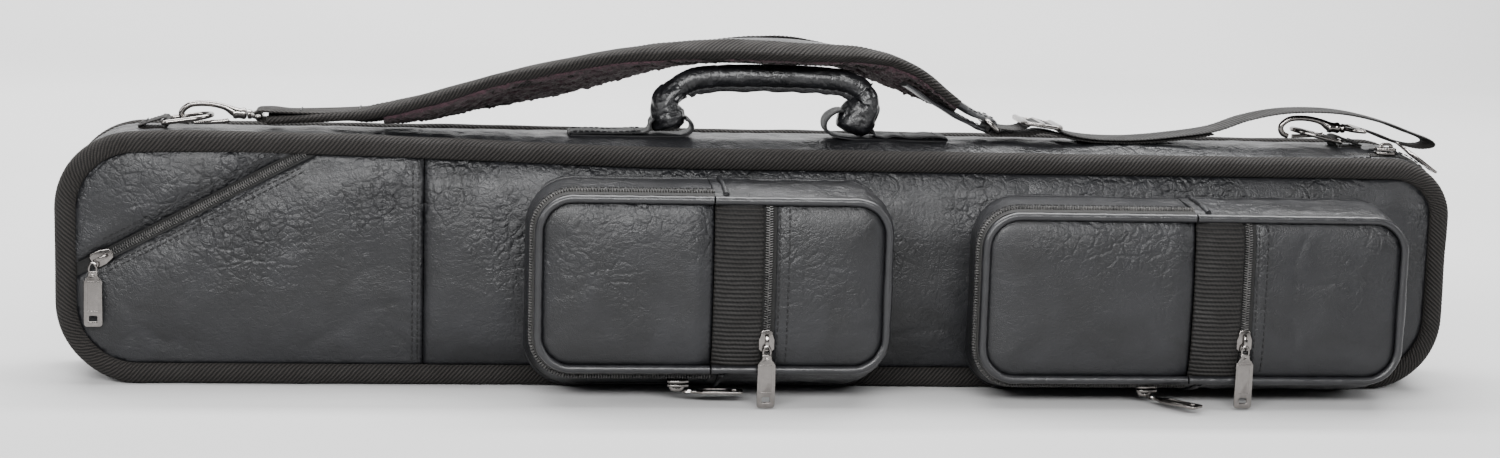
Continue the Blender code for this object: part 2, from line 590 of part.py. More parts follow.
hook_l = hook("hook_left", -0.3170, 1, 0.1578)
hook_r = hook("hook_right", 0.3625, 1, 0.1605)
gate_l = gate("gate_left", -0.3170, 1, 0.1578)
gate_r = gate("gate_right", 0.3625, 1, 0.1605)
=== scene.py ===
import math

import bmesh
import bpy
import numpy as np
from mathutils import Matrix, Vector, noise
from mathutils.geometry import delaunay_2d_cdt


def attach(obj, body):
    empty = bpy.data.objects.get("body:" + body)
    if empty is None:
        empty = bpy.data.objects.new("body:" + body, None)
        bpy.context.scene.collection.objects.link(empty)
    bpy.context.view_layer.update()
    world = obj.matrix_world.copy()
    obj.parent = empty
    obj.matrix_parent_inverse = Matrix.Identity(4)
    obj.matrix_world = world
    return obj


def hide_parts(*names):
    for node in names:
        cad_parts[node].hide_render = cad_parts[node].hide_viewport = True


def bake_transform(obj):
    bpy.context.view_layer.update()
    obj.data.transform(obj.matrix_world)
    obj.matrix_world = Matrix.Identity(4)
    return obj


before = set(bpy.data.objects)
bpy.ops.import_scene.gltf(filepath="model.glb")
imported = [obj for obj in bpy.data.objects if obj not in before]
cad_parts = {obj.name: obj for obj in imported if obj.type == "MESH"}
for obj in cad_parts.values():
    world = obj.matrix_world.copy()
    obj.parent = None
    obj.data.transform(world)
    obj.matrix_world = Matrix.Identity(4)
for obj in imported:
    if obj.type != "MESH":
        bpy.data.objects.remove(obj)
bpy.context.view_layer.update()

rad = math.radians

# ------------------------------------------------------------------ measures of the frame, metres
HL, H = 0.425, 0.150
YF, YB = -0.003, 0.069
CORNERS = (0.046, 0.038, 0.045, 0.048)
BW, BD = 0.012, 0.008
SEAM_X = -0.210
DA, DB = (-0.403, 0.073), (-0.273, 0.1415)
FLAP_X = 0.375
ZY = 0.012
AY, HZ = 0.033, 0.158
LEAN = rad(20.0)
PD = 0.0537
POCKETS = {
    "pocket_1": dict(hinge=-0.0415, base=(-0.1500, 0.0680, 0.0015, 0.1275), face=(-0.1455, 0.0640, 0.0200, 0.1245),
                     rb=0.028, rf=0.022, web=0.0275, slider_z=0.044, seed=3.0),
    "pocket_2": dict(hinge=0.2470, base=(0.1210, 0.3860, 0.0010, 0.1200), face=(0.1180, 0.3785, 0.0150, 0.1175),
                     rb=0.026, rf=0.022, web=0.0275, slider_z=0.046, seed=11.0),
}
Y_RIM = YF - 0.0003 - PD
Y_PANEL = Y_RIM - 0.0003


def sm(a, b, v):
    t = min(1.0, max(0.0, (v - a) / (b - a)))
    return t * t * (3 - 2 * t)


def n3(x, y, z):
    return noise.noise(Vector((x, y, z)))


def ridge(x, y, z, power=10):
    """Thin crease lines where a noise passes through nought."""
    return (1.0 - min(1.0, abs(n3(x, y, z)) * 2.0)) ** power


def warp(p):
    """Soft sag of the front upper edge of the case."""
    x, y, z = p
    d = 0.0052 * sm(-0.26, -0.04, x) - 0.0016 * (1 - sm(-0.33, -0.20, x)) * sm(-0.40, -0.34, x)
    d *= sm(0.085, 0.150, z) * (1 - sm(-0.003, 0.022, y))
    return (x, y, z - d)


# ------------------------------------------------------------------ materials
def new_mat(name):
    m = bpy.data.materials.new(name)
    m.use_nodes = True
    nt = m.node_tree
    return m, nt, nt.nodes["Principled BSDF"]


def N(nt, kind, **props):
    node = nt.nodes.new(kind)
    for k, v in props.items():
        setattr(node, k, v)
    return node


def coords(nt, scale=(1, 1, 1), rot=(0, 0, 0)):
    tc = N(nt, "ShaderNodeTexCoord")
    mp = N(nt, "ShaderNodeMapping")
    mp.inputs["Scale"].default_value = scale
    mp.inputs["Rotation"].default_value = rot
    nt.links.new(tc.outputs["Object"], mp.inputs["Vector"])
    return mp.outputs["Vector"]


def noise_tex(nt, vec, scale, detail=3.0, rough=0.5, dist=0.0, kind="FBM"):
    t = N(nt, "ShaderNodeTexNoise", noise_type=kind)
    t.inputs["Scale"].default_value = scale
    t.inputs["Detail"].default_value = detail
    t.inputs["Roughness"].default_value = rough
    t.inputs["Distortion"].default_value = dist
    nt.links.new(vec, t.inputs["Vector"])
    return t.outputs["Fac"]


def ramp(nt, fac, stops):
    r = N(nt, "ShaderNodeValToRGB")
    el = r.color_ramp.elements
    while len(el) < len(stops):
        el.new(0.5)
    for e, (pos, col) in zip(el, stops):
        e.position = pos
        e.color = col if len(col) == 4 else (*col, 1.0)
    nt.links.new(fac, r.inputs["Fac"])
    return r.outputs["Color"]


def maprange(nt, fac, a, b, c, d):
    r = N(nt, "ShaderNodeMapRange")
    for i, v in enumerate((a, b, c, d)):
        r.inputs[i + 1].default_value = v
    nt.links.new(fac, r.inputs[0])
    return r.outputs[0]


def bump(nt, height, strength, distance, normal=None):
    b = N(nt, "ShaderNodeBump")
    b.inputs["Strength"].default_value = strength
    b.inputs["Distance"].default_value = distance
    nt.links.new(height, b.inputs["Height"])
    if normal is not None:
        nt.links.new(normal, b.inputs["Normal"])
    return b.outputs["Normal"]


def add(nt, a, b, op="ADD", k=None):
    m = N(nt, "ShaderNodeMath", operation=op)
    nt.links.new(a, m.inputs[0])
    if b is not None:
        nt.links.new(b, m.inputs[1])
    if k is not None:
        m.inputs[1].default_value = k
    return m.outputs[0]


def vor_edge(nt, vec, scale, dist, amount, lo, hi):
    """1 on the lines of a bent cell net and 0 inside the cells."""
    wv = N(nt, "ShaderNodeVectorMath", operation="MULTIPLY_ADD")
    nt.links.new(N_color(nt, vec, dist), wv.inputs[0])
    wv.inputs[1].default_value = (amount, amount, amount)
    nt.links.new(vec, wv.inputs[2])
    v = N(nt, "ShaderNodeTexVoronoi", feature="DISTANCE_TO_EDGE")
    v.inputs["Scale"].default_value = scale
    nt.links.new(wv.outputs[0], v.inputs["Vector"])
    return maprange(nt, v.outputs["Distance"], lo, hi, 1.0, 0.0)


def leather(name, dark=(0.0035, 0.0036, 0.0042), light=(0.0095, 0.0098, 0.0115), rough=(0.30, 0.44), crease=1.0, grain=1.0, scale=1.0, high=0.0, spec=0.36):
    m, nt, sh = new_mat(name)
    v = coords(nt)
    sep = N(nt, "ShaderNodeSeparateXYZ")
    nt.links.new(v, sep.inputs[0])
    wob = noise_tex(nt, v, 30 * scale, 4, 0.6, 0.8)
    # creases at three sizes, gathered in patches and mostly in the upper half where the leather has been bent
    patch = maprange(nt, noise_tex(nt, v, 17, 3, 0.55, 0.4), 0.42, 0.62, 0.05, 1.0)
    rise = maprange(nt, sep.outputs["Z"], 0.055, 0.100, 1.0 - high, 1.0)
    mask = add(nt, patch, rise, "MULTIPLY")
    big = vor_edge(nt, v, 105 * scale, 60 * scale, 0.011 / scale, 0.0, 0.16)
    mid = vor_edge(nt, v, 235 * scale, 150 * scale, 0.0052 / scale, 0.0, 0.20)
    grainy = vor_edge(nt, v, 880 * scale, 420 * scale, 0.0012 / scale, 0.0, 0.28)
    folds = noise_tex(nt, coords(nt, (1.0, 1.0, 1.7)), 46 * scale, 4, 0.62, 1.3)
    soft = noise_tex(nt, v, 120 * scale, 3, 0.6, 0.6)
    n1 = bump(nt, add(nt, folds, maprange(nt, mask, 0, 1, 0.16, 1.0), "MULTIPLY"), 0.45 * crease, 0.0036)
    inv = add(nt, add(nt, big, mask, "MULTIPLY"), None, "MULTIPLY", -1.0)
    n2 = bump(nt, inv, 0.85 * crease, 0.00085, n1)
    inv2 = add(nt, add(nt, mid, maprange(nt, mask, 0.0, 1.0, 0.16, 1.0), "MULTIPLY"), None, "MULTIPLY", -1.0)
    n3a = bump(nt, inv2, 0.75 * crease, 0.00042, n2)
    n3b = bump(nt, soft, 0.42 * crease, 0.0009, n3a)
    n4 = bump(nt, add(nt, grainy, None, "MULTIPLY", -1.0), 0.45 * grain, 0.00014, n3b)
    nt.links.new(n4, sh.inputs["Normal"])
    nt.links.new(ramp(nt, wob, [(0.30, dark), (0.72, light)]), sh.inputs["Base Color"])
    r = add(nt, maprange(nt, noise_tex(nt, v, 70, 3, 0.6), 0.3, 0.7, rough[0], rough[1]), maprange(nt, grainy, 0.0, 1.0, 0.0, 0.10))
    nt.links.new(r, sh.inputs["Roughness"])
    sh.inputs["Specular IOR Level"].default_value = spec
    sh.inputs["Coat Weight"].default_value = 0.05
    sh.inputs["Coat Roughness"].default_value = 0.25
    return m


def N_color(nt, vec, scale):
    t = N(nt, "ShaderNodeTexNoise")
    t.inputs["Scale"].default_value = scale
    t.inputs["Detail"].default_value = 2
    nt.links.new(vec, t.inputs["Vector"])
    return t.outputs["Color"]


def cloth(name, dark, light, rough=0.85, thread=900.0, strength=0.5, sheen=0.25, big=40.0):
    m, nt, sh = new_mat(name)
    v = coords(nt)
    a = noise_tex(nt, v, thread, 2, 0.5)
    b = noise_tex(nt, v, big, 3, 0.6)
    mix = add(nt, maprange(nt, a, 0.3, 0.7, 0.0, 0.65), maprange(nt, b, 0.3, 0.7, 0.0, 0.35))
    nt.links.new(ramp(nt, mix, [(0.2, dark), (0.85, light)]), sh.inputs["Base Color"])
    nt.links.new(maprange(nt, b, 0.3, 0.7, rough - 0.08, min(1.0, rough + 0.08)), sh.inputs["Roughness"])
    nt.links.new(bump(nt, a, strength, 0.0003), sh.inputs["Normal"])
    sh.inputs["Specular IOR Level"].default_value = 0.28
    sh.inputs["Sheen Weight"].default_value = sheen
    sh.inputs["Sheen Roughness"].default_value = 0.45
    sh.inputs["Sheen Tint"].default_value = (0.62, 0.60, 0.58, 1.0)
    return m


def ribbed(name, dark, light, pitch, slant, cross, rough=0.8, strength=0.8, depth=0.0004, sheen=0.3):
    """Woven tape: ribs that cross the tape at a slant and the finer threads in them. It follows the piece's length and width."""
    m, nt, sh = new_mat(name)
    tc = N(nt, "ShaderNodeTexCoord")
    sep = N(nt, "ShaderNodeSeparateXYZ")
    nt.links.new(tc.outputs["UV"], sep.inputs[0])
    wob = maprange(nt, noise_tex(nt, coords(nt), 180, 2, 0.5), 0.3, 0.7, -0.5, 0.5)
    lean = add(nt, sep.outputs["Y"], None, "MULTIPLY", slant)
    ph = add(nt, add(nt, add(nt, sep.outputs["X"], lean), None, "MULTIPLY", 2 * math.pi / pitch), wob)
    rib = maprange(nt, add(nt, ph, None, "SINE"), -1, 1, 0, 1)
    ph2 = add(nt, add(nt, add(nt, sep.outputs["Y"], add(nt, sep.outputs["X"], None, "MULTIPLY", -slant * 0.8)), None, "MULTIPLY", 2 * math.pi / cross), add(nt, ph, None, "MULTIPLY", 0.5))
    thread = maprange(nt, add(nt, ph2, None, "SINE"), -1, 1, 0, 1)
    fuzz = noise_tex(nt, coords(nt), 2400, 2, 0.5)
    body = add(nt, add(nt, rib, None, "MULTIPLY", 0.66), add(nt, thread, None, "MULTIPLY", 0.20))
    mix = add(nt, body, add(nt, fuzz, None, "MULTIPLY", 0.24))
    # colour follows the rib height used for the bump: near black in the grooves between the ribs and lighter on the rib
    # tops, which is painted shade; the thread lines and fuzz add the tape's own tone variation
    nt.links.new(ramp(nt, mix, [(0.22, dark), (0.92, light)]), sh.inputs["Base Color"])
    b = noise_tex(nt, coords(nt), 60, 3, 0.6)
    nt.links.new(maprange(nt, b, 0.3, 0.7, rough - 0.08, min(1.0, rough + 0.08)), sh.inputs["Roughness"])
    n1 = bump(nt, body, strength, depth)
    nt.links.new(bump(nt, fuzz, 0.3, 0.00012, n1), sh.inputs["Normal"])
    sh.inputs["Specular IOR Level"].default_value = 0.22
    sh.inputs["Sheen Weight"].default_value = sheen
    sh.inputs["Sheen Roughness"].default_value = 0.5
    sh.inputs["Sheen Tint"].default_value = (0.62, 0.58, 0.55, 1.0)
    return m


def metal(name, col, rough):
    m, nt, sh = new_mat(name)
    v = coords(nt)
    a = noise_tex(nt, v, 500, 3, 0.6)
    b = noise_tex(nt, v, 2600, 2, 0.5)
    lo = tuple(c * 0.72 for c in col)
    nt.links.new(ramp(nt, a, [(0.3, lo), (0.7, col)]), sh.inputs["Base Color"])
    nt.links.new(maprange(nt, a, 0.3, 0.7, rough * 0.7, rough * 1.5), sh.inputs["Roughness"])
    nt.links.new(bump(nt, b, 0.12, 0.0001), sh.inputs["Normal"])
    sh.inputs["Metallic"].default_value = 1.0
    return m


M_LEATHER = leather("leather_panel", high=0.88)
M_LEATHER2 = leather("leather_pocket", rough=(0.32, 0.44), crease=0.58, high=0.80)
M_GUSSET = leather("leather_gusset", rough=(0.30, 0.44), crease=0.8)
M_HANDLE = leather("leather_handle", dark=(0.0028, 0.0028, 0.0033), light=(0.0065, 0.0067, 0.008), rough=(0.22, 0.32), crease=0.28, grain=0.6, scale=1.5, spec=0.5)
M_TAB = leather("leather_tab", dark=(0.0025, 0.0025, 0.003), light=(0.006, 0.006, 0.007), rough=(0.46, 0.6), crease=0.25, grain=0.8, scale=1.5, spec=0.2)
M_PIPING = leather("piping_cord", dark=(0.0055, 0.0055, 0.0065), light=(0.010, 0.0102, 0.012), rough=(0.26, 0.34), crease=0.12, grain=0.4, scale=1.8, spec=0.5)
# the first colour is a near-black painted shade for the rib grooves, the second is the tape's own tone on the rib tops
M_TWILL = ribbed("twill_tape", (0.0003, 0.0003, 0.0003), (0.021, 0.0185, 0.017), 0.0027, 0.85, 0.0013, 0.80, 1.0, 0.0007, 0.03)
M_WEB = ribbed("woven_webbing", (0.0003, 0.0003, 0.0003), (0.013, 0.0118, 0.011), 0.0021, 0.0, 0.0024, 0.66, 1.0, 0.0005, 0.02)
M_TAPE = cloth("zip_tape", (0.0022, 0.0022, 0.0022), (0.010, 0.0098, 0.0095), 0.75, 1800, 0.6, 0.08)
# the zip coil is coloured a light grey far above the black tape so that its teeth read as shiny: painted highlight
M_COIL_PAINTED_SHINE = cloth("zip_coil", (0.030, 0.030, 0.030), (0.13, 0.126, 0.122), 0.30, 700, 0.2, 0.0)
M_FLEECE = cloth("fleece", (0.0040, 0.0015, 0.0022), (0.050, 0.024, 0.032), 0.97, 1500, 1.0, 0.25, 260)
M_LINING = cloth("fleece_lining", (0.006, 0.006, 0.007), (0.022, 0.022, 0.025), 0.95, 900, 0.9, 0.3)
M_THREAD = cloth("thread", (0.0015, 0.0015, 0.0017), (0.009, 0.009, 0.010), 0.50, 2600, 0.6, 0.05)
M_METAL = metal("nickel_plate", (0.25, 0.235, 0.225), 0.15)
M_ZIPMETAL = metal("gunmetal_plate", (0.23, 0.215, 0.205), 0.18)

# ------------------------------------------------------------------ mesh helpers
def mesh_piece(name, verts, faces, mat, body, smooth=True, replaces=None, angle=None):
    me = bpy.data.meshes.new(name)
    me.from_pydata([tuple(v) for v in verts], [], [tuple(f) for f in faces])
    me.validate()
    bm = bmesh.new()
    bm.from_mesh(me)
    bmesh.ops.recalc_face_normals(bm, faces=bm.faces)
    bm.to_mesh(me)
    bm.free()
    if smooth:
        me.shade_smooth()
        me.set_sharp_from_angle(angle=rad(angle or 50))
    me.materials.append(mat)
    ob = bpy.data.objects.new(name, me)
    bpy.context.scene.collection.objects.link(ob)
    if body:
        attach(ob, body)
    if replaces:
        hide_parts(*([replaces] if isinstance(replaces, str) else replaces))
    return ob


def lay_uv(ob, uv, period=None):
    """UVs from one pair for each vertex; faces across the start of a closed loop are carried on past its end."""
    me = ob.data
    layer = me.uv_layers.new(name="along")
    for p in me.polygons:
        vals = [uv[v] for v in p.vertices]
        for k in (0, 1):
            if period and period[k]:
                hi = max(q[k] for q in vals)
                vals = [tuple(c + (period[k] if (n == k and hi - q[k] > period[k] / 2) else 0.0) for n, c in enumerate(q)) for q in vals]
        for l, q in zip(p.loop_indices, vals):
            layer.data[l].uv = q


def ring_lengths(ring):
    P = np.array([tuple(p) for p in ring], float)
    seg = np.linalg.norm(np.roll(P, -1, axis=0) - P, axis=1)
    return np.concatenate([[0], np.cumsum(seg)[:-1]]), float(seg.sum())


def arc(cx, cz, r, a0, a1, n):
    return [(cx + r * math.cos(rad(a0 + (a1 - a0) * i / n)), cz + r * math.sin(rad(a0 + (a1 - a0) * i / n))) for i in range(n + 1)]


def rounded(x0, x1, z0, z1, radii, n=14):
    tl, tr, br, bl = radii
    return (arc(x1 - tr, z1 - tr, tr, 0, 90, n) + arc(x0 + tl, z1 - tl, tl, 90, 180, n)
            + arc(x0 + bl, z0 + bl, bl, 180, 270, n) + arc(x1 - br, z0 + br, br, 270, 360, n))


def case_outline(inset, n=14):
    return rounded(-HL + inset, HL - inset, inset, H - inset, [max(0.004, r - inset) for r in CORNERS], n)


def half_path(side, xh, xe, z0, z1, rt, rb, n=12):
    return ([(xh, z1)] + arc(xe - side * rt, z1 - rt, rt, 90, 90 - side * 90, n)
            + arc(xe - side * rb, z0 + rb, rb, 90 - side * 90, 90 - side * 180, n) + [(xh, z0)])


def resample(pts, step, closed):
    """Points a given step apart along a path, with the left-hand normals there."""
    P = np.array(pts, float)
    keep = [0] + [i for i in range(1, len(P)) if np.linalg.norm(P[i] - P[i - 1]) > 1e-7]
    P = P[keep]
    if closed and np.linalg.norm(P[0] - P[-1]) < 1e-7:
        P = P[:-1]
    Q = np.vstack([P, P[:1]]) if closed else P
    seg = np.linalg.norm(np.diff(Q, axis=0), axis=1)
    s = np.concatenate([[0], np.cumsum(seg)])
    n = max(2, int(round(s[-1] / step)))
    t = np.linspace(0, s[-1], n + 1)
    if closed:
        t = t[:-1]
    R = np.stack([np.interp(t, s, Q[:, k]) for k in range(Q.shape[1])], axis=1)
    if closed:
        D = np.roll(R, -1, axis=0) - np.roll(R, 1, axis=0)
    else:
        D = np.gradient(R, axis=0)
    D /= np.linalg.norm(D, axis=1)[:, None]
    return R, D, t


def sweep(name, path, profile, mat, body, closed=True, step=0.0015, disp=None, warped=True, replaces=None, ring=True, flip=1, angle=50):
    """Profile of (inset, y) points carried round an outline in X and Z; inset is to the left of travel."""
    R, D, t = resample(path, step, closed)
    nrm = np.stack([-D[:, 1], D[:, 0]], axis=1) * flip
    m = len(profile)
    verts = []
    for i in range(len(R)):
        for j, (ins, y) in enumerate(profile):
            di, dy = (0.0, 0.0) if disp is None else disp(t[i], j / (m - 1 if not ring else m), ins, y, R[i])
            x, z = R[i] + nrm[i] * (ins + di)
            p = (x, y + dy, z)
            verts.append(warp(p) if warped else p)
    faces = []
    cnt = len(R)
    for i in range(cnt if closed else cnt - 1):
        a, b = i * m, ((i + 1) % cnt) * m
        for j in range(m if ring else m - 1):
            k = (j + 1) % m
            faces.append((a + j, a + k, b + k, b + j))
    if not closed and ring:
        faces.append(list(range(m)))
        faces.append([(cnt - 1) * m + j for j in reversed(range(m))])
    ob = mesh_piece(name, verts, faces, mat, body, True, replaces, angle)
    lens, total = ring_lengths([(a, b, 0) for a, b in profile])
    lay_uv(ob, [(t[i], lens[j]) for i in range(len(R)) for j in range(m)], (float(t[-1] + step) if closed else None, total))
    return ob


def clip(poly, a, b, c):
    out = []
    for i, p in enumerate(poly):
        q = poly[(i + 1) % len(poly)]
        dp, dq = a * p[0] + b * p[1] - c, a * q[0] + b * q[1] - c
        if dp <= 0:
            out.append(p)
        if (dp < 0 < dq) or (dq < 0 < dp):
            t = dp / (dp - dq)
            out.append((p[0] + t * (q[0] - p[0]), p[1] + t * (q[1] - p[1])))
    return out


def field(poly, spacing):
    """Even net of triangles that fills an outline: points, faces, border distance and the border in order."""
    R, _, _ = resample(poly, spacing, True)
    x0, z0 = R.min(axis=0)
    x1, z1 = R.max(axis=0)
    xs = np.arange(x0, x1, spacing)
    rows = []
    for k, z in enumerate(np.arange(z0, z1, spacing * 0.866)):
        rows.append(np.stack([xs + (spacing / 2 if k % 2 else 0), np.full_like(xs, z)], axis=1))
    G = np.vstack(rows)
    inside = np.zeros(len(G), bool)
    S = np.roll(R, -1, axis=0)
    for (ax, az), (bx, bz) in zip(R, S):
        cond = (az > G[:, 1]) != (bz > G[:, 1])
        with np.errstate(divide="ignore", invalid="ignore"):
            xi = (bx - ax) * (G[:, 1] - az) / (bz - az) + ax
        inside ^= cond & (G[:, 0] < xi)
    G = G[inside]
    dist = np.full(len(G), 9.0)
    for a, b in zip(R, S):
        d = b - a
        tt = np.clip(((G - a) @ d) / max(1e-12, d @ d), 0, 1)
        dist = np.minimum(dist, np.linalg.norm(G - (a + tt[:, None] * d), axis=1))
    ok = dist > spacing * 0.55
    G, dist = G[ok], dist[ok]
    pts = [Vector(p) for p in R] + [Vector(p) for p in G]
    edges = [(i, (i + 1) % len(R)) for i in range(len(R))]
    v, e, f, ov, _, _ = delaunay_2d_cdt(pts, edges, [], 1, 1e-7)
    first = [o[0] if o else -1 for o in ov]
    dd = [0.0 if (o < 0 or o < len(R)) else float(dist[o - len(R)]) for o in first]
    order = [None] * len(R)
    for i, o in enumerate(first):
        if 0 <= o < len(R):
            order[o] = i
    return [(p.x, p.y) for p in v], [tuple(q) for q in f], dd, [o for o in order if o is not None]


def sheet_panel(name, poly, yfun, mat, body, spacing=0.0026, thick=0.0016, back=1, replaces=None, warped=True):
    """Leather panel on an outline in X and Z, with y from yfun(x, z, border distance); its back is towards +y if back is 1."""
    pts, faces, dd, border = field(poly, spacing)
    n = len(pts)
    verts = []
    for (x, z), d in zip(pts, dd):
        p = (x, yfun(x, z, d), z)
        verts.append(warp(p) if warped else p)
    for (x, z), d in zip(pts, dd):
        p = (x, yfun(x, z, d) + back * thick, z)
        verts.append(warp(p) if warped else p)
    allf = list(faces) + [tuple(n + i for i in reversed(f)) for f in faces]
    for i in range(len(border)):
        a, b = border[i], border[(i + 1) % len(border)]
        allf.append((a, b, n + b, n + a))
    return mesh_piece(name, verts, allf, mat, body, True, replaces, 60)


def tube3(name, pts, radius, mat, body, sides=12, disp=None, replaces=None, closed=False, up=(0, 1, 0), smooth=True, capround=True, angle=70):
    """Round tube along 3-D points; radius is a number or a function of 0..1; disp(u, angle) adds to it."""
    P = [Vector(p) for p in pts]
    n = len(P)
    verts, faces = [], []
    upv = Vector(up)
    for i in range(n):
        if closed:
            T = (P[(i + 1) % n] - P[i - 1]).normalized()
        else:
            T = (P[min(i + 1, n - 1)] - P[max(i - 1, 0)]).normalized()
        B = (upv - T * upv.dot(T)).normalized()
        C = T.cross(B)
        u = i / (n - 1 if not closed else n)
        r = radius(u) if callable(radius) else radius
        for k in range(sides):
            a = 2 * math.pi * k / sides
            rr = r + (disp(u, a) if disp else 0.0)
            verts.append(P[i] + B * (rr * math.cos(a)) + C * (rr * math.sin(a)))
    for i in range(n if closed else n - 1):
        a, b = i * sides, ((i + 1) % n) * sides
        for k in range(sides):
            l = (k + 1) % sides
            faces.append((a + k, a + l, b + l, b + k))
    if not closed:
        faces.append(tuple(range(sides)))
        faces.append(tuple((n - 1) * sides + k for k in reversed(range(sides))))
    return mesh_piece(name, verts, faces, mat, body, smooth, replaces, angle)


def bars(name, items, mat, body):
    """Many small rounded bars as one mesh: each is centre, half-length vector, half-width vector, half-height vector."""
    verts, faces = [], []
    for c, l, w, h in items:
        c, l, w, h = Vector(c), Vector(l), Vector(w), Vector(h)
        base = len(verts)
        for f, s in ((-1.0, 0.45), (-0.72, 0.92), (0.72, 0.92), (1.0, 0.45)):
            for a in range(6):
                an = math.pi / 3 * a
                verts.append(c + l * f + (w * math.cos(an) + h * math.sin(an)) * s)
        for r in range(3):
            for k in range(6):
                q = (k + 1) % 6
                faces.append((base + r * 6 + k, base + r * 6 + q, base + r * 6 + 6 + q, base + r * 6 + 6 + k))
        faces.append(tuple(base + k for k in range(6)))
        faces.append(tuple(base + 18 + k for k in reversed(range(6))))
    return mesh_piece(name, verts, faces, mat, body, True, None, 40)


def stitch_items(line, out, length=0.0027, gap=0.0012, width=0.00052, height=0.00042):
    """Stitches along a 3-D polyline that lie on the side named by out."""
    R, D, t = resample([tuple(p) for p in line], 0.0004, False)
    items = []
    step = length + gap
    k = int(t[-1] / step)
    for i in range(k):
        s = (i + 0.5) * step + (t[-1] - k * step) / 2
        j = min(len(R) - 1, int(round(s / t[-1] * (len(R) - 1))))
        T = Vector(D[j])
        O = Vector(out(R[j])) if callable(out) else Vector(out)
        O = (O - T * O.dot(T)).normalized()
        W = T.cross(O)
        items.append((Vector(R[j]) + O * height * 0.35, T * length / 2, W * width, O * height))
    return items


def coil_items(line, out, pitch=0.00145, half=0.0021, height=0.0011):
    """Interlocked zip coil: short bars across the zip, left and right in turn."""
    R, D, t = resample([tuple(p) for p in line], pitch / 2, False)
    items = []
    for j in range(len(R)):
        T = Vector(D[j])
        O = Vector(out(R[j])) if callable(out) else Vector(out)
        O = (O - T * O.dot(T)).normalized()
        W = T.cross(O)
        s = 1 if j % 2 else -1
        items.append((Vector(R[j]) + W * (s * half * 0.42) + O * height * 0.5, W * (half * 0.62) + T * (s * pitch * 0.16), T * (pitch * 0.27), O * height))
    return items


# ------------------------------------------------------------------ case body
DL = math.hypot(DB[0] - DA[0], DB[1] - DA[1])
DU = ((DB[0] - DA[0]) / DL, (DB[1] - DA[1]) / DL)
DN = (-DU[1], DU[0])
DMID = DN[0] * DA[0] + DN[1] * DA[1]


def diag_off(x, z):
    """Distance above the diagonal zip; the zip bows a little."""
    s = (x - DA[0]) * DU[0] + (z - DA[1]) * DU[1]
    bow = 0.0016 * math.sin(math.pi * min(1, max(0, s / DL)))
    return DN[0] * x + DN[1] * z - DMID - bow


def edge_d(x, z):
    """Rough distance to the inner edge of the binding, with round corners."""
    cx0, cx1, cz0, cz1 = -0.413, 0.413, 0.012, 0.138
    r = 0.034
    dx = max(cx0 + r - x, x - (cx1 - r), 0.0)
    dz = max(cz0 + r - z, z - (cz1 - r), 0.0)
    if dx > 0 and dz > 0:
        return max(0.0, r - math.hypot(dx, dz))
    return max(0.0, min(x - cx0, cx1 - x, z - cz0, cz1 - z))


def FY(x, z):
    """Outer surface of the front panels."""
    d = edge_d(x, z)
    lf = 1 - sm(-0.225, -0.195, x)
    crown = (0.0052 - 0.0006 * lf) * (1 - math.exp(-d / (0.012 + 0.010 * lf)))
    crown += (0.0056 - 0.0044 * lf) * max(0.0, 1 - ((z - 0.072) / 0.064) ** 2) * sm(0.0, 0.065, 0.413 - abs(x))
    if lf > 0:
        crown *= 1 - 0.88 * lf * math.exp(-(diag_off(x, z) / 0.017) ** 2) * (1 - sm(-0.285, -0.245, x))
    y = YF + 0.0004 - crown
    y += 0.0013 * math.exp(-((x - SEAM_X) / 0.0022) ** 2)
    if x < SEAM_X:
        o = diag_off(x, z)
        y += 0.0012 * math.exp(-(o / 0.0055) ** 2) - 0.0010 * math.exp(-((o - 0.012) / 0.006) ** 2)
    soft = sm(0.0, 0.016, d)
    y += soft * (0.0011 * n3(x * 15, 3.1, z * 22) + 0.0006 * n3(x * 42, 7.7, z * 48))
    # draw lines that run in from the seams, and loose creases
    y += soft * 0.0010 * ridge(x * 11 + z * 9, 1.3, z * 24 - x * 6, 8) * sm(-0.1, 0.35, n3(x * 7, 5.5, z * 9))
    y += soft * 0.0007 * ridge(x * 34 - z * 12, 4.3, z * 30 + x * 12, 7) * sm(0.0, 0.4, n3(x * 9 + 4, 2.5, z * 12))
    return y


def front_y(x, z, d):
    e = 0.0008 * max(0.0, 1 - d / 0.0015) ** 2
    return FY(x, z) + e


inner = case_outline(BW + 0.0001)
left_field = clip(inner, 1, 0, SEAM_X - 0.0002)
sheet_panel("front_leather_main", clip(inner, -1, 0, -(SEAM_X + 0.0002)), front_y, M_LEATHER, "case", 0.0025, replaces="front_panel")
sheet_panel("front_leather_left", clip(left_field, DN[0], DN[1], DMID - 0.0034), front_y, M_LEATHER, "case", 0.0022, replaces="front_panel_left")
sheet_panel("front_leather_corner", clip(left_field, -DN[0], -DN[1], -(DMID + 0.0036)), front_y, M_LEATHER, "case", 0.0022, replaces="front_panel_corner")
sheet_panel("diagonal_zip_cloth", clip(clip(left_field, DN[0], DN[1], DMID + 0.0052), -DN[0], -DN[1], -(DMID - 0.0050)),
            lambda x, z, d: FY(x, z) + 0.0011, M_TAPE, "case", 0.0026, 0.0008, replaces="diagonal_zip")


def on_front(x, z, lift=0.0):
    return warp((x, FY(x, z) - lift, z))


def diag_line(off, s0, s1, n=60, lift=0.0):
    out = []
    for i in range(n + 1):
        s = s0 + (s1 - s0) * i / n
        x, z = DA[0] + DU[0] * s + DN[0] * off, DA[1] + DU[1] * s + DN[1] * off
        out.append(on_front(x, z, lift))
    return out


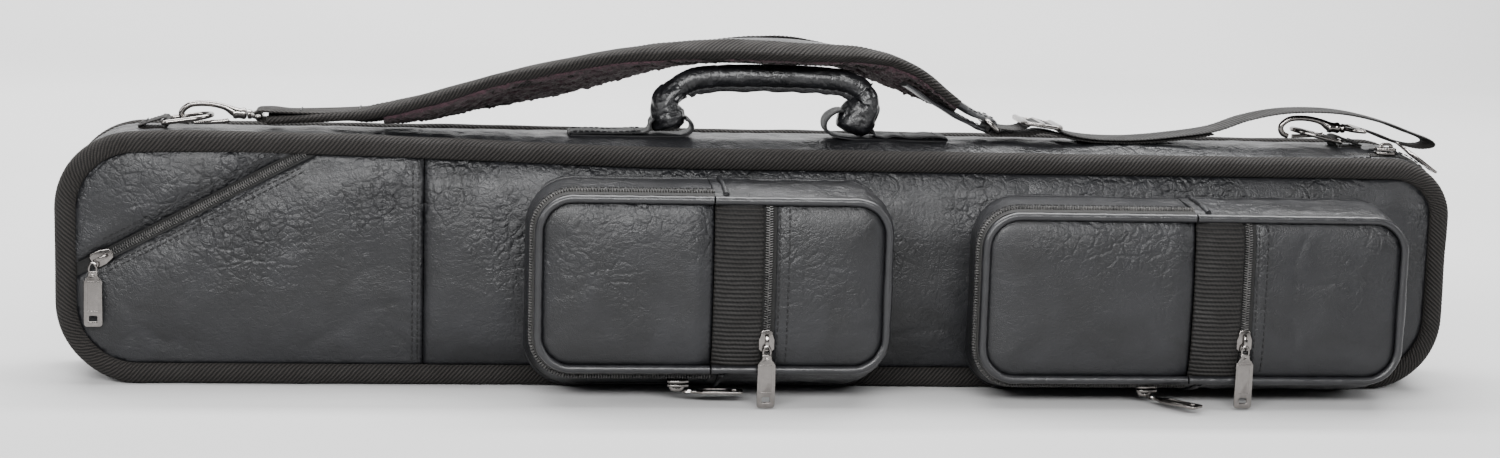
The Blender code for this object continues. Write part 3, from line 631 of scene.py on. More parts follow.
F_OUT = (0, -1, 0)
D_END = DL * 0.945
bars("diagonal_coil", coil_items(diag_line(0.0001, 0.004, D_END, 80, -0.0007), F_OUT), M_COIL_PAINTED_SHINE, "case")
st = []
for off in (0.0064, 0.0090):
    st += stitch_items(diag_line(off, 0.010, D_END - 0.010), F_OUT)
for off in (-0.0062, -0.0088):
    st += stitch_items(diag_line(off, 0.004, D_END - 0.004), F_OUT)
for x in (-0.2166, -0.2134):
    st += stitch_items([on_front(x, 0.0135 + 0.1225 * i / 60) for i in range(61)], F_OUT)
bars("front_stitches", st, M_THREAD, "case")


def smooth_loop(pts, n):
    R, _, _ = resample([tuple(p) for p in pts], 1e-3, True)
    P = np.vstack([R, R[:1]])
    seg = np.linalg.norm(np.diff(P, axis=0), axis=1)
    s = np.concatenate([[0], np.cumsum(seg)])
    t = np.linspace(0, s[-1], n + 1)[:-1]
    return [(float(np.interp(v, s, P[:, 0])), float(np.interp(v, s, P[:, 1]))) for v in t], s[-1]


BIND = [(0.0124, 0.0016), (0.0120, -0.0008), (0.0102, -0.0021), (0.0080, -0.0027), (0.0055, -0.0027), (0.0030, -0.0019), (0.0010, -0.0003),
        (0.0001, 0.0020), (0.0000, 0.0048), (0.0007, 0.0074), (0.0024, 0.0084), (0.0034, 0.0070), (0.0036, 0.0040), (0.0100, 0.0030)]
LOOP, LOOP_L = smooth_loop(BIND, 30)


def twill(front):
    def disp(t, u, ins, y, p):
        ph = 2 * math.pi * (t + u * LOOP_L * 0.85) / 0.0027
        a = 0.00018 * math.sin(ph) + 0.0005 * n3(p[0] * 30, y * 60, p[1] * 30)
        return (-a if ins < 0.004 else 0.0), (-a if front else a)
    return disp


def binding(name, path, closed, front, body, flip, replaces):
    prof = [(i, YF + y) for i, y in LOOP] if front else [(i, YB - y) for i, y in LOOP]
    return sweep(name, path, prof, M_TWILL, body, closed, 0.00085, twill(front), True, replaces, True, flip)


def c_half(side, xh):
    rt, rb = (CORNERS[1], CORNERS[2]) if side > 0 else (CORNERS[0], CORNERS[3])
    return half_path(side, xh, side * HL, 0.0, H, rt, rb, 16)


binding("front_twill", case_outline(0.0, 16), True, True, "case", 1, "front_binding")
binding("back_twill", c_half(-1, FLAP_X - 0.0014), False, False, "case", 1, "back_binding")
binding("end_flap_twill", c_half(1, FLAP_X + 0.0020), False, False, "end_flap", -1, "end_flap_binding")


def gusset_profile(y0, y1, n=26, thick=0.0018):
    out = []
    for i in range(n + 1):
        u = i / n
        out.append((0.0021 - 0.0016 * math.sin(math.pi * u) ** 0.6, y0 + (y1 - y0) * u))
    return out + [(0.0021 + thick, y1), (0.0021 + thick, (y0 + y1) / 2), (0.0021 + thick, y0)]


def gusset_disp(seed):
    def disp(t, u, ins, y, p):
        if ins > 0.0030:
            return 0.0, 0.0
        w = sm(YF + 0.006, YF + 0.018, y) * (1 - sm(YB - 0.018, YB - 0.006, y))
        a = 0.0010 * n3(t * 24, y * 40, seed) + 0.0007 * ridge(t * 46, y * 34, seed + 2, 7) + 0.0005 * n3(t * 90, y * 80, seed)
        return max(-0.0014, a) * (0.25 + 0.75 * w), 0.0
    return disp


sweep("gusset_leather", c_half(-1, FLAP_X), gusset_profile(YF + BD - 0.0012, YB - BD + 0.0012), M_GUSSET, "case", False, 0.0026,
      gusset_disp(2.0), True, "gusset_band", True, 1)
sweep("gusset_end_strip", c_half(1, FLAP_X), gusset_profile(YF + BD - 0.0012, ZY - 0.0040, 6, 0.0016), M_GUSSET, "case", False, 0.0026,
      None, True, None, True, -1)
sweep("end_flap_leather", c_half(1, FLAP_X + 0.0004), gusset_profile(ZY + 0.0040, YB - BD + 0.0012, 20), M_GUSSET, "end_flap", False, 0.0026,
      gusset_disp(6.0), True, "end_flap_gusset", True, -1)
sweep("main_zip_cloth", c_half(1, FLAP_X - 0.006), [(0.0028, ZY - 0.0046), (0.0026, ZY), (0.0028, ZY + 0.0036), (0.0036, ZY + 0.0036), (0.0036, ZY - 0.0046)],
      M_TAPE, "case", False, 0.003, None, True, "main_zip_tape", True, -1)


def core_out(x0, x1, z0, z1, r):
    def f(p):
        cx = min(max(p[0], x0 + r), x1 - r)
        cz = min(max(p[2], z0 + r), z1 - r)
        v = Vector((p[0] - cx, 0, p[2] - cz))
        return v if v.length > 1e-6 else Vector((0, 0, 1))
    return f


def offset_path(pts, inset, y, flip, step=0.0015):
    R, D, _ = resample(pts, step, False)
    return [warp((x - dz * inset * flip, y, z + dx * inset * flip)) for (x, z), (dx, dz) in zip(R, D)]


bars("main_coil", coil_items(offset_path(c_half(1, FLAP_X - 0.012), 0.0022, ZY, -1), core_out(-HL, HL, 0, H, 0.036)), M_COIL_PAINTED_SHINE, "case")
zs = []
for y in (ZY - 0.0053, ZY - 0.0068):
    zs += stitch_items(offset_path(c_half(1, FLAP_X - 0.012), 0.0012, y, -1), core_out(-HL, HL, 0, H, 0.036))
bars("end_stitches", zs, M_THREAD, "case")
zs = []
for y in (ZY + 0.0056, ZY + 0.0072):
    zs += stitch_items(offset_path(c_half(1, FLAP_X + 0.002), 0.0007, y, -1), core_out(-HL, HL, 0, H, 0.036))
bars("end_flap_stitches", zs, M_THREAD, "end_flap")


def back_y(seed, x0, x1):
    def f(x, z, d):
        e = edge_d(x, z)
        y = YB - 0.0004 + 0.0042 * (1 - math.exp(-e / 0.020)) - 0.0012 * max(0.0, 1 - d / 0.003) ** 2
        soft = sm(0, 0.02, e)
        y += soft * (0.0010 * n3(x * 14, seed, z * 18) - 0.0008 * ridge(x * 13 + z * 8, seed, z * 20 - x * 5, 8) * sm(-0.1, 0.3, n3(x * 6, seed, z * 8)))
        y -= 0.0044 * math.exp(-((x - FLAP_X) / 0.009) ** 2) * sm(0, 0.012, e)
        return y
    return f


sheet_panel("back_leather", clip(inner, 1, 0, FLAP_X - 0.0001), back_y(21.0, -1, 1), M_LEATHER, "case", 0.0030, back=-1, replaces="back_panel", warped=False)
sheet_panel("end_flap_back_leather", clip(inner, -1, 0, -(FLAP_X + 0.0003)), back_y(21.0, -1, 1), M_LEATHER, "end_flap", 0.0030, back=-1,
            replaces="end_flap_panel", warped=False)
b_out = (0, 1, 0)
by = back_y(21.0, -1, 1)
bars("back_hinge_stitches", stitch_items([(FLAP_X - 0.0032, by(FLAP_X - 0.0032, 0.014 + 0.122 * i / 50, 1), 0.014 + 0.122 * i / 50) for i in range(51)], b_out),
     M_THREAD, "case")


# ------------------------------------------------------------------ pockets
def band_path(P, side, t, n=110, inset=0.0):
    b, f = P["base"], P["face"]
    mx = [b[i] + t * (f[i] - b[i]) for i in range(4)]
    r = P["rb"] + t * (P["rf"] - P["rb"]) - inset
    xe = mx[0] + inset if side < 0 else mx[1] - inset
    xh = P["hinge"] + side * 0.00015
    pts = half_path(side, xh, xe, mx[2] + inset, mx[3] - inset, r, r, 14)
    Q = np.array(pts)
    seg = np.linalg.norm(np.diff(Q, axis=0), axis=1)
    s = np.concatenate([[0], np.cumsum(seg)])
    v = np.linspace(0, s[-1], n)
    R = np.stack([np.interp(v, s, Q[:, 0]), np.interp(v, s, Q[:, 1])], axis=1)
    D = np.gradient(R, axis=0)
    D /= np.linalg.norm(D, axis=1)[:, None]
    out = np.stack([D[:, 1], -D[:, 0]], axis=1) * (-side)     # away from the pocket's middle
    return R, out, v


def pocket_band(name, P, side, t0, t1, rows, mat, body, puff, thick=0.0016, replaces=None, n=130):
    outer, innerv = [], []
    for j in range(rows + 1):
        t = t0 + (t1 - t0) * j / rows
        R, O, v = band_path(P, side, t, n)
        for i in range(n):
            q = puff(v[i] / v[-1], t, R[i][0], R[i][1])
            y = YF - 0.0003 - t * PD
            outer.append((R[i][0] + O[i][0] * q, y, R[i][1] + O[i][1] * q))
            innerv.append((R[i][0] - O[i][0] * thick, y, R[i][1] - O[i][1] * thick))
    k = (rows + 1) * n
    F = []
    for j in range(rows):
        for i in range(n - 1):
            a = j * n + i
            F.append((a, a + 1, a + n + 1, a + n))
            F.append((k + a, k + a + n, k + a + n + 1, k + a + 1))
    for i in range(n - 1):
        a, b = i, rows * n + i
        F.append((a, k + a, k + a + 1, a + 1))
        F.append((b, b + 1, k + b + 1, k + b))
    for j in range(rows):
        a, b = j * n, j * n + n - 1
        F.append((a, a + n, k + a + n, k + a))
        F.append((b, k + b, k + b + n, b + n))
    return mesh_piece(name, outer + innerv, F, mat, body, True, replaces, 60)


def band_line(P, side, t, lift=0.0, n=160, u0=0.0, u1=1.0):
    R, O, v = band_path(P, side, t, n)
    y = YF - 0.0003 - t * PD
    a, b = int(u0 * (n - 1)), int(u1 * (n - 1)) + 1
    return [(R[i][0] + O[i][0] * lift, y, R[i][1] + O[i][1] * lift) for i in range(a, b)]


def make_pocket(name, P):
    hx, f, b = P["hinge"], P["face"], P["base"]
    seed = P["seed"]
    sx = hx + P["web"] + 0.0045
    flap = name + "_flap"
    out = core_out(f[0], f[1], f[2], f[3], P["rf"])

    def face_y(x, z):
        dx = max(f[0] + 0.02 - x, x - (f[1] - 0.02), 0.0)
        dz = max(f[2] + 0.02 - z, z - (f[3] - 0.02), 0.0)
        e = (0.02 - math.hypot(dx, dz)) if (dx > 0 and dz > 0) else min(x - f[0], f[1] - x, z - f[2], f[3] - z)
        e = max(0.0, e - 0.0044)
        soft = sm(0, 0.014, e)
        y = Y_PANEL - 0.0014 - 0.0050 * (1 - math.exp(-e / 0.011))
        y += soft * (0.0009 * n3(x * 17, seed, z * 19) + 0.00035 * n3(x * 50, seed + 3, z * 55))
        y += soft * 0.0006 * ridge(x * 18 + z * 12, seed, z * 26 - x * 9, 8) * sm(0.0, 0.35, n3(x * 9, seed, z * 11))
        # the webbing and the slash zip pull the leather in beside them
        y += 0.0031 * math.exp(-((x - hx) / 0.0065) ** 2) + 0.0013 * math.exp(-((x - sx) / 0.0065) ** 2)
        return y

    def panel_y(x, z, d):
        return face_y(x, z) + 0.0011 * max(0.0, 1 - d / 0.0022) ** 2

    r = P["rf"] - 0.0036
    fld = rounded(f[0] + 0.0036, f[1] - 0.0036, f[2] + 0.0036, f[3] - 0.0036, (r, r, r, r), 12)
    zx0, zx1 = sx - 0.0036, sx + 0.0036
    sheet_panel(name + "_flap_leather", clip(fld, 1, 0, hx - 0.0002), panel_y, M_LEATHER2, flap, 0.0020,
                replaces=flap + "_panel", warped=False)
    sheet_panel(name + "_right_leather", clip(fld, -1, 0, -zx1), panel_y, M_LEATHER2, "case", 0.0020, replaces=name + "_panel", warped=False)

    # webbing band: woven ribs across, raised selvedges
    wx0, wx1 = hx + 0.0002, zx0 + 0.0004
    rows_n, cols = int((f[3] - f[2] - 0.0072) / 0.00042), 22
    V, F = [], []
    z0, z1 = f[2] + 0.0034, f[3] - 0.0034
    for k in range(2):
        for j in range(rows_n + 1):
            z = z0 + (z1 - z0) * j / rows_n
            for i in range(cols + 1):
                u = i / cols
                x = wx0 + (wx1 - wx0) * u
                rib = 0.5 + 0.5 * math.cos(2 * math.pi * z / 0.00255)
                cross = 0.5 + 0.5 * math.cos(2 * math.pi * (u * 11 + (0.5 if int(z / 0.00255) % 2 else 0)))
                edge = 1.0 if 0.06 < u < 0.94 else 0.35
                lift = 0.00095 + (0.00046 * rib ** 0.8 + 0.00014 * cross) * edge - (0.0005 if u in (0.0, 1.0) else 0.0)
                V.append((x, face_y(x, z) - (lift if k == 0 else -0.0008), z))
    m = (rows_n + 1) * (cols + 1)
    for j in range(rows_n):
        for i in range(cols):
            a = j * (cols + 1) + i
            q = a + cols + 1
            F.append((a, a + 1, q + 1, q))
            F.append((m + a, m + q, m + q + 1, m + a + 1))
    rim = [i for i in range(cols + 1)] + [j * (cols + 1) + cols for j in range(1, rows_n + 1)] \
        + [rows_n * (cols + 1) + i for i in range(cols - 1, -1, -1)] + [j * (cols + 1) for j in range(rows_n - 1, 0, -1)]
    for i in range(len(rim)):
        a, q = rim[i], rim[(i + 1) % len(rim)]
        F.append((a, m + a, m + q, q))
    band = mesh_piece(name + "_woven_band", V, F, M_WEB, "case", True, name + "_webbing", 75)
    lay_uv(band, [(v[2] * 0.0021 / 0.00255, v[0]) for v in V])

    sheet_panel(name + "_slash_cloth", [(zx0 - 0.0006, f[2] + 0.0036), (zx1 + 0.0008, f[2] + 0.0036), (zx1 + 0.0008, f[3] - 0.0036), (zx0 - 0.0006, f[3] - 0.0036)],
                lambda x, z, d: face_y(x, z) + 0.0006, M_TAPE, "case", 0.0024, 0.0008, replaces=name + "_slash_zip", warped=False)
    vz = [f[2] + 0.0050 + (f[3] - f[2] - 0.0100) * i / 60 for i in range(61)]
    bars(name + "_slash_coil", coil_items([(sx, face_y(sx, z) + 0.0001, z) for z in vz], F_OUT), M_COIL_PAINTED_SHINE, "case")
    st = []
    for off in (0.0062, 0.0118):
        st += stitch_items([(zx1 + off - 0.0036, face_y(zx1 + off - 0.0036, z), z) for z in vz], F_OUT)
    bars(name + "_panel_stitches", st, M_THREAD, "case")

    # side walls
    def puff_leather(u, t, x, z):
        w = sm(0.0, 0.10, t) * (1 - sm(0.90, 1.0, t))
        a = 0.0016 * math.sin(math.pi * min(1, max(0, t))) + 0.0010 * n3(u * 8, t * 3, seed) * w
        a += 0.0009 * ridge(u * 15, t * 3.4, seed + 1, 6) * w + 0.0004 * n3(u * 34, t * 12, seed) * w
        return a + 0.0008 * math.exp(-(t / 0.05) ** 2)

    pocket_band(name + "_side_leather", P, 1, 0.0, 1.0, 26, M_LEATHER2, "case", puff_leather, replaces=name + "_gusset", n=170)
    pocket_band(name + "_zip_side_base", P, -1, 0.0, 0.70, 18, M_LEATHER2, "case", lambda u, t, x, z: puff_leather(u, t, x, z) * sm(1.0, 0.0, 0) if False else
                0.0013 * math.sin(math.pi * t / 0.70) + 0.0008 * n3(u * 9, t * 3, seed) * sm(0, 0.15, t) * (1 - sm(0.55, 0.70, t)) + 0.0007 * math.exp(-((t - 0.685) / 0.02) ** 2),
                replaces=name + "_zip_gusset", n=170)
    pocket_band(name + "_zip_cloth", P, -1, 0.695, 0.896, 6, M_TAPE, "case", lambda u, t, x, z: -0.0006, 0.0010, n=130)
    pocket_band(name + "_flap_side", P, -1, 0.912, 1.0, 6, M_TAPE, flap,
                lambda u, t, x, z: 0.0003 + 0.0007 * math.exp(-((t - 0.93) / 0.018) ** 2), 0.0012, replaces=flap + "_gusset", n=150)
    bars(name + "_side_coil", coil_items(band_line(P, -1, 0.850, 0.0001, 240), out, 0.0016, 0.0029, 0.0017), M_COIL_PAINTED_SHINE, "case")
    st = []
    for t in (0.672, 0.645):
        st += stitch_items(band_line(P, -1, t, 0.0009, 240), out)
    # turned cuff where the leather side meets the zip side
    bars(name + "_side_stitches", st, M_THREAD, "case")
    cuff = []
    for u0, u1 in ((0.0, 0.022), (0.978, 1.0)):
        for k, lift in ((0, 0.0022),):
            pass
    for end in (0, -1):
        line = []
        for j in range(25):
            t = 0.02 + 0.96 * j / 24
            R, O, v = band_path(P, 1, t, 60)
            i = 1 if end == 0 else len(R) - 2
            line.append((R[i][0] + 0.0016, YF - 0.0003 - t * PD, R[i][1] + O[i][1] * (0.0006 + 0.0016 * math.sin(math.pi * t))))
        tube3(name + ("_cuff_top" if end == 0 else "_cuff_bottom"), line, lambda u: 0.0016 + 0.0003 * math.sin(9 * u), M_LEATHER2, "case", 10, up=(1, 0, 0))

    # base seam where the walls meet the front panel
    for side, tag in ((-1, "left"), (1, "right")):
        line = band_line(P, side, 0.075, 0.0004, 110)
        tube3(name + "_base_seam_" + tag, line, lambda u: 0.0013, M_LEATHER2, "case", 8, up=(0, 1, 0))

    # piping
    pr = P["rf"] - 0.0021
    yp = Y_RIM - 0.0026
    for side, body, rep in ((-1, flap, flap + "_piping"), (1, "case", name + "_piping")):
        xe = f[0] + 0.0021 if side < 0 else f[1] - 0.0021
        run = half_path(side, hx + side * (0.0009 if side < 0 else 0.0001), xe, f[2] + 0.0021, f[3] - 0.0021, pr, pr, 16)
        R, _, _ = resample(run, 0.0022, False)
        tube3(name + ("_cord_left" if side < 0 else "_cord_right"), [(x, yp, z) for x, z in R], 0.00245, M_PIPING, body, 14,
              disp=lambda u, a: 0.00008 * math.sin(160 * u) + 0.00012 * n3(u * 60, a, 1.0), replaces=rep, up=(0, 1, 0))
    # splice of the piping on the right
    zc = 0.5 * (f[2] + f[3]) - 0.006
    tube3(name + "_cord_splice", [(f[1] - 0.0021, yp, zc - 0.010 + 0.020 * i / 10) for i in range(11)], lambda u: 0.00262 + 0.0002 * math.sin(math.pi * u) ** 0.3,
          M_PIPING, "case", 14, up=(0, 1, 0))
    return face_y


FACE = {name: make_pocket(name, P) for name, P in POCKETS.items()}


# ------------------------------------------------------------------ zip sliders and pulls
def curve_solid(loops, half, bevel):
    cu = bpy.data.curves.new("tmp", "CURVE")
    cu.dimensions = "2D"
    cu.fill_mode = "BOTH"
    cu.extrude = half
    cu.bevel_depth = bevel
    cu.bevel_resolution = 2
    for loop in loops:
        sp = cu.splines.new("POLY")
        sp.points.add(len(loop) - 1)
        for p, (u, v) in zip(sp.points, loop):
            p.co = (u, v, 0, 1)
        sp.use_cyclic_u = True
    ob = bpy.data.objects.new("tmp", cu)
    bpy.context.scene.collection.objects.link(ob)
    bpy.context.view_layer.update()
    me = bpy.data.meshes.new_from_object(ob.evaluated_get(bpy.context.evaluated_depsgraph_get()))
    bm = bmesh.new()
    bm.from_mesh(me)
    bmesh.ops.remove_doubles(bm, verts=bm.verts, dist=1e-6)
    V = [tuple(v.co) for v in bm.verts]
    bm.verts.index_update()
    F = [tuple(v.index for v in f.verts) for f in bm.faces]
    bm.free()
    bpy.data.objects.remove(ob, do_unlink=True)
    bpy.data.curves.remove(cu)
    bpy.data.meshes.remove(me)
    return V, F


def rrect(x0, x1, y0, y1, r, n=5):
    return rounded(x0, x1, y0, y1, (r, r, r, r), n)


def ring_tube(pts, radius, sides=8):
    """Closed wire ring in local coordinates."""
    P = [Vector(p) for p in pts]
    n = len(P)
    V, F = [], []
    for i in range(n):
        T = (P[(i + 1) % n] - P[i - 1]).normalized()
        up = Vector((0, 0, 1)) if abs(T.z) < 0.9 else Vector((1, 0, 0))
        B = (up - T * up.dot(T)).normalized()
        C = T.cross(B)
        for k in range(sides):
            a = 2 * math.pi * k / sides
            V.append(P[i] + B * radius * math.cos(a) + C * radius * math.sin(a))
    for i in range(n):
        a, b = i * sides, ((i + 1) % n) * sides
        for k in range(sides):
            l = (k + 1) % sides
            F.append((a + k, a + l, b + l, b + k))
    return V, F


def joined(parts):
    V, F = [], []
    for v, f, m in parts:
        base = len(V)
        V += [m @ Vector(p) for p in v]
        F += [tuple(base + i for i in q) for q in f]
    return V, F


def basis(x, y, z, at):
    return Matrix(((x[0], y[0], z[0], at[0]), (x[1], y[1], z[1], at[1]), (x[2], y[2], z[2], at[2]), (0, 0, 0, 1)))


I4 = Matrix.Identity(4)
# slider: local x along the zip, y across, z outwards
plate = [(-0.0058, -0.0030), (-0.0046, -0.0042), (0.0008, -0.0042), (0.0036, -0.0033), (0.0058, -0.0026), (0.0062, -0.0012), (0.0062, 0.0012),
         (0.0058, 0.0026), (0.0036, 0.0033), (0.0008, 0.0042), (-0.0046, 0.0042), (-0.0058, 0.0030)]
pv, pf = curve_solid([plate], 0.0004, 0.00045)
bv, bf = curve_solid([[(-0.0046, 0.0), (-0.0044, 0.0016), (-0.0034, 0.0027), (-0.0016, 0.0031), (0.0014, 0.0030), (0.0030, 0.0022), (0.0038, 0.0004), (0.0038, 0.0),
                       (0.0026, 0.0), (0.0022, 0.0012), (0.0010, 0.0018), (-0.0016, 0.0019), (-0.0030, 0.0014), (-0.0034, 0.0)]], 0.0007, 0.0004)
to_side = Matrix.Rotation(rad(90), 4, "X")
SLIDER = joined([(pv, pf, Matrix.Translation((0, 0, 0.0002))), (pv, pf, Matrix.Translation((0, 0, -0.0022))), (bv, bf, Matrix.Translation((0, 0, 0.0008)) @ to_side)])


def pull_shape(total, width=0.0100):
    """Pull in local x across, y up, z outwards, hanging from the origin."""
    w = width / 2
    top, tip = -0.0086, -total
    tab, tf = curve_solid([[(-0.0022, -0.0040), (-0.0026, -0.0066), (-w + 0.0010, top), (-w, top - 0.0014)] + arc(-w + 0.0016, tip + 0.0016, 0.0016, 180, 270, 4)
                           + arc(w - 0.0016, tip + 0.0016, 0.0016, 270, 360, 4) + [(w, top - 0.0014), (w - 0.0010, top), (0.0026, -0.0066), (0.0022, -0.0040)],
                          rrect(-w + 0.0023, w - 0.0023, tip + 0.0026, tip + 0.0066, 0.0010, 3),
                          rrect(-0.0012, 0.0012, -0.0066, -0.0052, 0.0005, 2)], 0.00045, 0.00035)
    frm, ff = curve_solid([rrect(-w + 0.0010, w - 0.0010, tip + 0.0082, top - 0.0012, 0.0007, 3),
                           rrect(-w + 0.0018, w - 0.0018, tip + 0.0090, top - 0.0020, 0.0005, 3)], 0.00012, 0.00012)
    link = [(0.0017 * math.cos(a), 0.0003 + (-0.0028 if math.sin(a) < 0 else 0.0014) * abs(math.sin(a)) - 0.0018, 0.0006 * math.sin(a)) for a in
            [2 * math.pi * i / 16 for i in range(16)]]
    link = [(0.0022 * math.cos(a), -0.0022 + 0.0036 * math.sin(a), 0.0) for a in [2 * math.pi * i / 18 for i in range(18)]]
    lv, lf = ring_tube(link, 0.00065)
    return joined([(tab, tf, I4), (frm, ff, Matrix.Translation((0, 0, 0.00072))), (frm, ff, Matrix.Translation((0, 0, -0.00072))), (lv, lf, I4)])


def slider_and_pull(name, c, d, n, hinge, pdir, pn, total):
    d, n = Vector(d).normalized(), Vector(n).normalized()
    w = n.cross(d)
    V, F = SLIDER
    M = basis(d, w, n, c)
    mesh_piece(name + "_slider_body", [M @ v for v in V], F, M_ZIPMETAL, name + "_slider", True, name + "_slider", 35)
    py = -Vector(pdir).normalized()
    pz = Vector(pn)
    pz = (pz - py * pz.dot(py)).normalized()
    px = py.cross(pz)
    V, F = pull_shape(total)
    M = basis(px, py, pz, hinge)
    mesh_piece(name + "_pull_tab", [M @ v for v in V], F, M_ZIPMETAL, name + "_pull", True, name + "_pull", 35)


dcx, dcz = DA[0] + 0.006 * DU[0], DA[1] + 0.006 * DU[1]
ds = on_front(dcx, dcz)
slider_and_pull("diagonal", (dcx, ds[1] - 0.0020, dcz), (DU[0], 0, DU[1]), F_OUT, (dcx - 0.0045, YF - 0.0066, dcz - 0.0036), (0, 0, -1), F_OUT, 0.0365)
slider_and_pull("main", (0.386, ZY, H - 0.0021 + 0.0022), (-1, 0, 0), (0, 0, 1), (0.3945, ZY, H + 0.0036), (math.cos(rad(35)), 0, -math.sin(rad(35))), (math.sin(rad(35)), 0, math.cos(rad(35))), 0.030)
for name, P in POCKETS.items():
    sx = P["hinge"] + P["web"] + 0.0045
    zc = P["slider_z"] - 0.004
    yc = FACE[name](sx, zc)
    slider_and_pull(name + "_slash", (sx, min(yc - 0.0010, Y_PANEL - 0.0030), zc), (0, 0, 1), F_OUT, (sx, Y_PANEL - 0.0025 - 0.0064, P["slider_z"] - 0.0078), (0, 0, -1), F_OUT,
                    min(0.0365, P["slider_z"] - 0.0088))
sy = YF - 0.0003 - 0.83 * PD
for name, sxx, turn, sz in (("pocket_1", -0.0600, 0.0, 0.0105), ("pocket_2", 0.2240, -50.0, 0.0085)):
    d = (math.cos(rad(turn)), math.sin(rad(turn)), 0.0)
    start = (sxx + 0.0045 * d[0], sy + 0.0045 * d[1], sz - 0.0041)
    slider_and_pull(name + "_gusset", (sxx, sy, sz + 0.0002), (1, 0, 0), (0, 0, -1), start, d, (0, 0, -1), 0.034)


# ------------------------------------------------------------------ shared lofts
def cat(rows, per=6):
    """Catmull-Rom through rows of numbers."""
    out = []
    for i in range(len(rows) - 1):
        p0, p1, p2, p3 = rows[max(i - 1, 0)], rows[i], rows[i + 1], rows[min(i + 2, len(rows) - 1)]
        for k in range(per):
            t = k / per
            out.append(tuple(0.5 * (2 * b + (c - a) * t + (2 * a - 5 * b + 4 * c - d) * t * t + (3 * b - a - 3 * c + d) * t ** 3)
                             for a, b, c, d in zip(p0, p1, p2, p3)))
    out.append(tuple(rows[-1]))
    return out


def loft(name, rings, mat, body, replaces=None, caps=True, closed=True, angle=60, cyclic=False):
    m = len(rings[0])
    V = [p for ring in rings for p in ring]
    F = []
    n = len(rings)
    for i in range(n if cyclic else n - 1):
        for j in range(m if closed else m - 1):
            k = (j + 1) % m
            a, b = i * m, ((i + 1) % n) * m
            F.append((a + j, a + k, b + k, b + j))
    if caps and closed and not cyclic:
        F.append(tuple(range(m)))
        F.append(tuple((n - 1) * m + j for j in reversed(range(m))))
    ob = mesh_piece(name, V, F, mat, body, True, replaces, angle)
    C = np.array([np.mean(np.array([tuple(p) for p in ring]), axis=0) for ring in rings])
    run = np.concatenate([[0], np.cumsum(np.linalg.norm(np.diff(C, axis=0), axis=1))])
    lens, total = ring_lengths(rings[n // 2])
    lay_uv(ob, [(float(run[i]), float(lens[j])) for i in range(n) for j in range(m)], (None, total))
    return ob


def xz_frames(pts):
    """Tangent and upward normal of a path in X and Z."""
    P = np.array(pts, float)
    D = np.gradient(P, axis=0)
    D /= np.linalg.norm(D, axis=1)[:, None]
    return P, D, np.stack([-D[:, 1], D[:, 0]], axis=1)


def strip(name, pts, width, thick, mat, body, replaces=None, yc=AY, edge=0.0, cup=0.0, wave=0.0, seed=0.0, cols=14):
    """Flat strap along a path in X and Z; it has round edges, and may cup and ripple."""
    P, D, U = xz_frames(pts)
    rings = []
    for i in range(len(P)):
        u = i / (len(P) - 1)
        w = width(u) if callable(width) else width
        th = thick(u) if callable(thick) else thick
        top, bot = [], []
        for j in range(cols + 1):
            v = -1 + 2 * j / cols
            h = th / 2 * (1 - 0.75 * abs(v) ** 10)
            off = cup * (v * v - 0.3) + wave * n3(u * 7 + seed, v * 1.4, seed)
            e = edge * max(0.0, abs(v) - 0.8) / 0.2
            for dst, s in ((top, 1), (bot, -1)):
                dst.append((P[i][0] + U[i][0] * (s * (h + e) + off), yc + v * w / 2, P[i][1] + U[i][1] * (s * (h + e) + off)))
        rings.append(top + bot[::-1])
    return loft(name, rings, mat, body, replaces)


def edge_lines(pts, width, lift, yc=AY, inset=0.002):
    P, D, U = xz_frames(pts)
    return [[(P[i][0] + U[i][0] * lift, yc + s * (width / 2 - inset), P[i][1] + U[i][1] * lift) for i in range(len(P))] for s in (-1, 1)]


# ------------------------------------------------------------------ hand grip
GRIP = cat([(-0.0573, 0.1777), (-0.0540, 0.1808), (-0.0470, 0.1840), (-0.0360, 0.1858), (-0.0200, 0.1865), (0.0, 0.1868),
            (0.0200, 0.1865), (0.0360, 0.1858), (0.0470, 0.1840), (0.0540, 0.1809), (0.0575, 0.1777)], 14)


def grip_disp(u, a):
    under = max(0.0, -math.cos(a))
    d = 0.00022 * math.sin(2 * math.pi * (u * 21 + 0.4 * math.sin(u * 9))) * under ** 1.5
    d += 0.00035 * n3(u * 16, math.cos(a) * 1.6, math.sin(a) * 1.6) + 0.00028 * n3(u * 50, math.cos(a) * 2.2, 4 + math.sin(a) * 2)
    d += 0.0010 * math.exp(-(u / 0.014) ** 2) + 0.0010 * math.exp(-((1 - u) / 0.014) ** 2)
    return d


tube3("grip_leather", [(x, AY, z) for x, z in GRIP], 0.0071, M_HANDLE, "handle", 36, grip_disp, "handle_grip", up=(0, 0, 1))
P, D, U = xz_frames(GRIP)
lo, st = [], []
for i in range(8, len(P) - 8):
    u = i / (len(P) - 1)
    depth = 0.0096 + 0.00035 * math.sin(2 * math.pi * (u * 8.5 + 0.3 * math.sin(u * 11))) + 0.0004 * n3(u * 30, 1, 2)
    depth = 0.0064 + (depth - 0.0064) * sm(0.03, 0.12, u) * (1 - sm(0.88, 0.97, u))
    wob = 0.0007 * n3(u * 22, 5, 5)
    lo.append([(P[i][0] - U[i][0] * q, AY - 0.0018 + y + wob, P[i][1] - U[i][1] * q)
               for q, y in ((0.0060, -0.0011), (depth - 0.0004, -0.0011), (depth, -0.0006), (depth - 0.0003, 0.0), (depth, 0.0006), (depth - 0.0004, 0.0011), (0.0060, 0.0011))])
    st.append((P[i][0] - U[i][0] * (depth - 0.0016), AY - 0.0018 - 0.0011 + wob, P[i][1] - U[i][1] * (depth - 0.0016)))
loft("grip_seam_flap", lo, M_HANDLE, "handle")
bars("grip_stitches", stitch_items(st, F_OUT, 0.0022, 0.0011), M_THREAD, "handle")

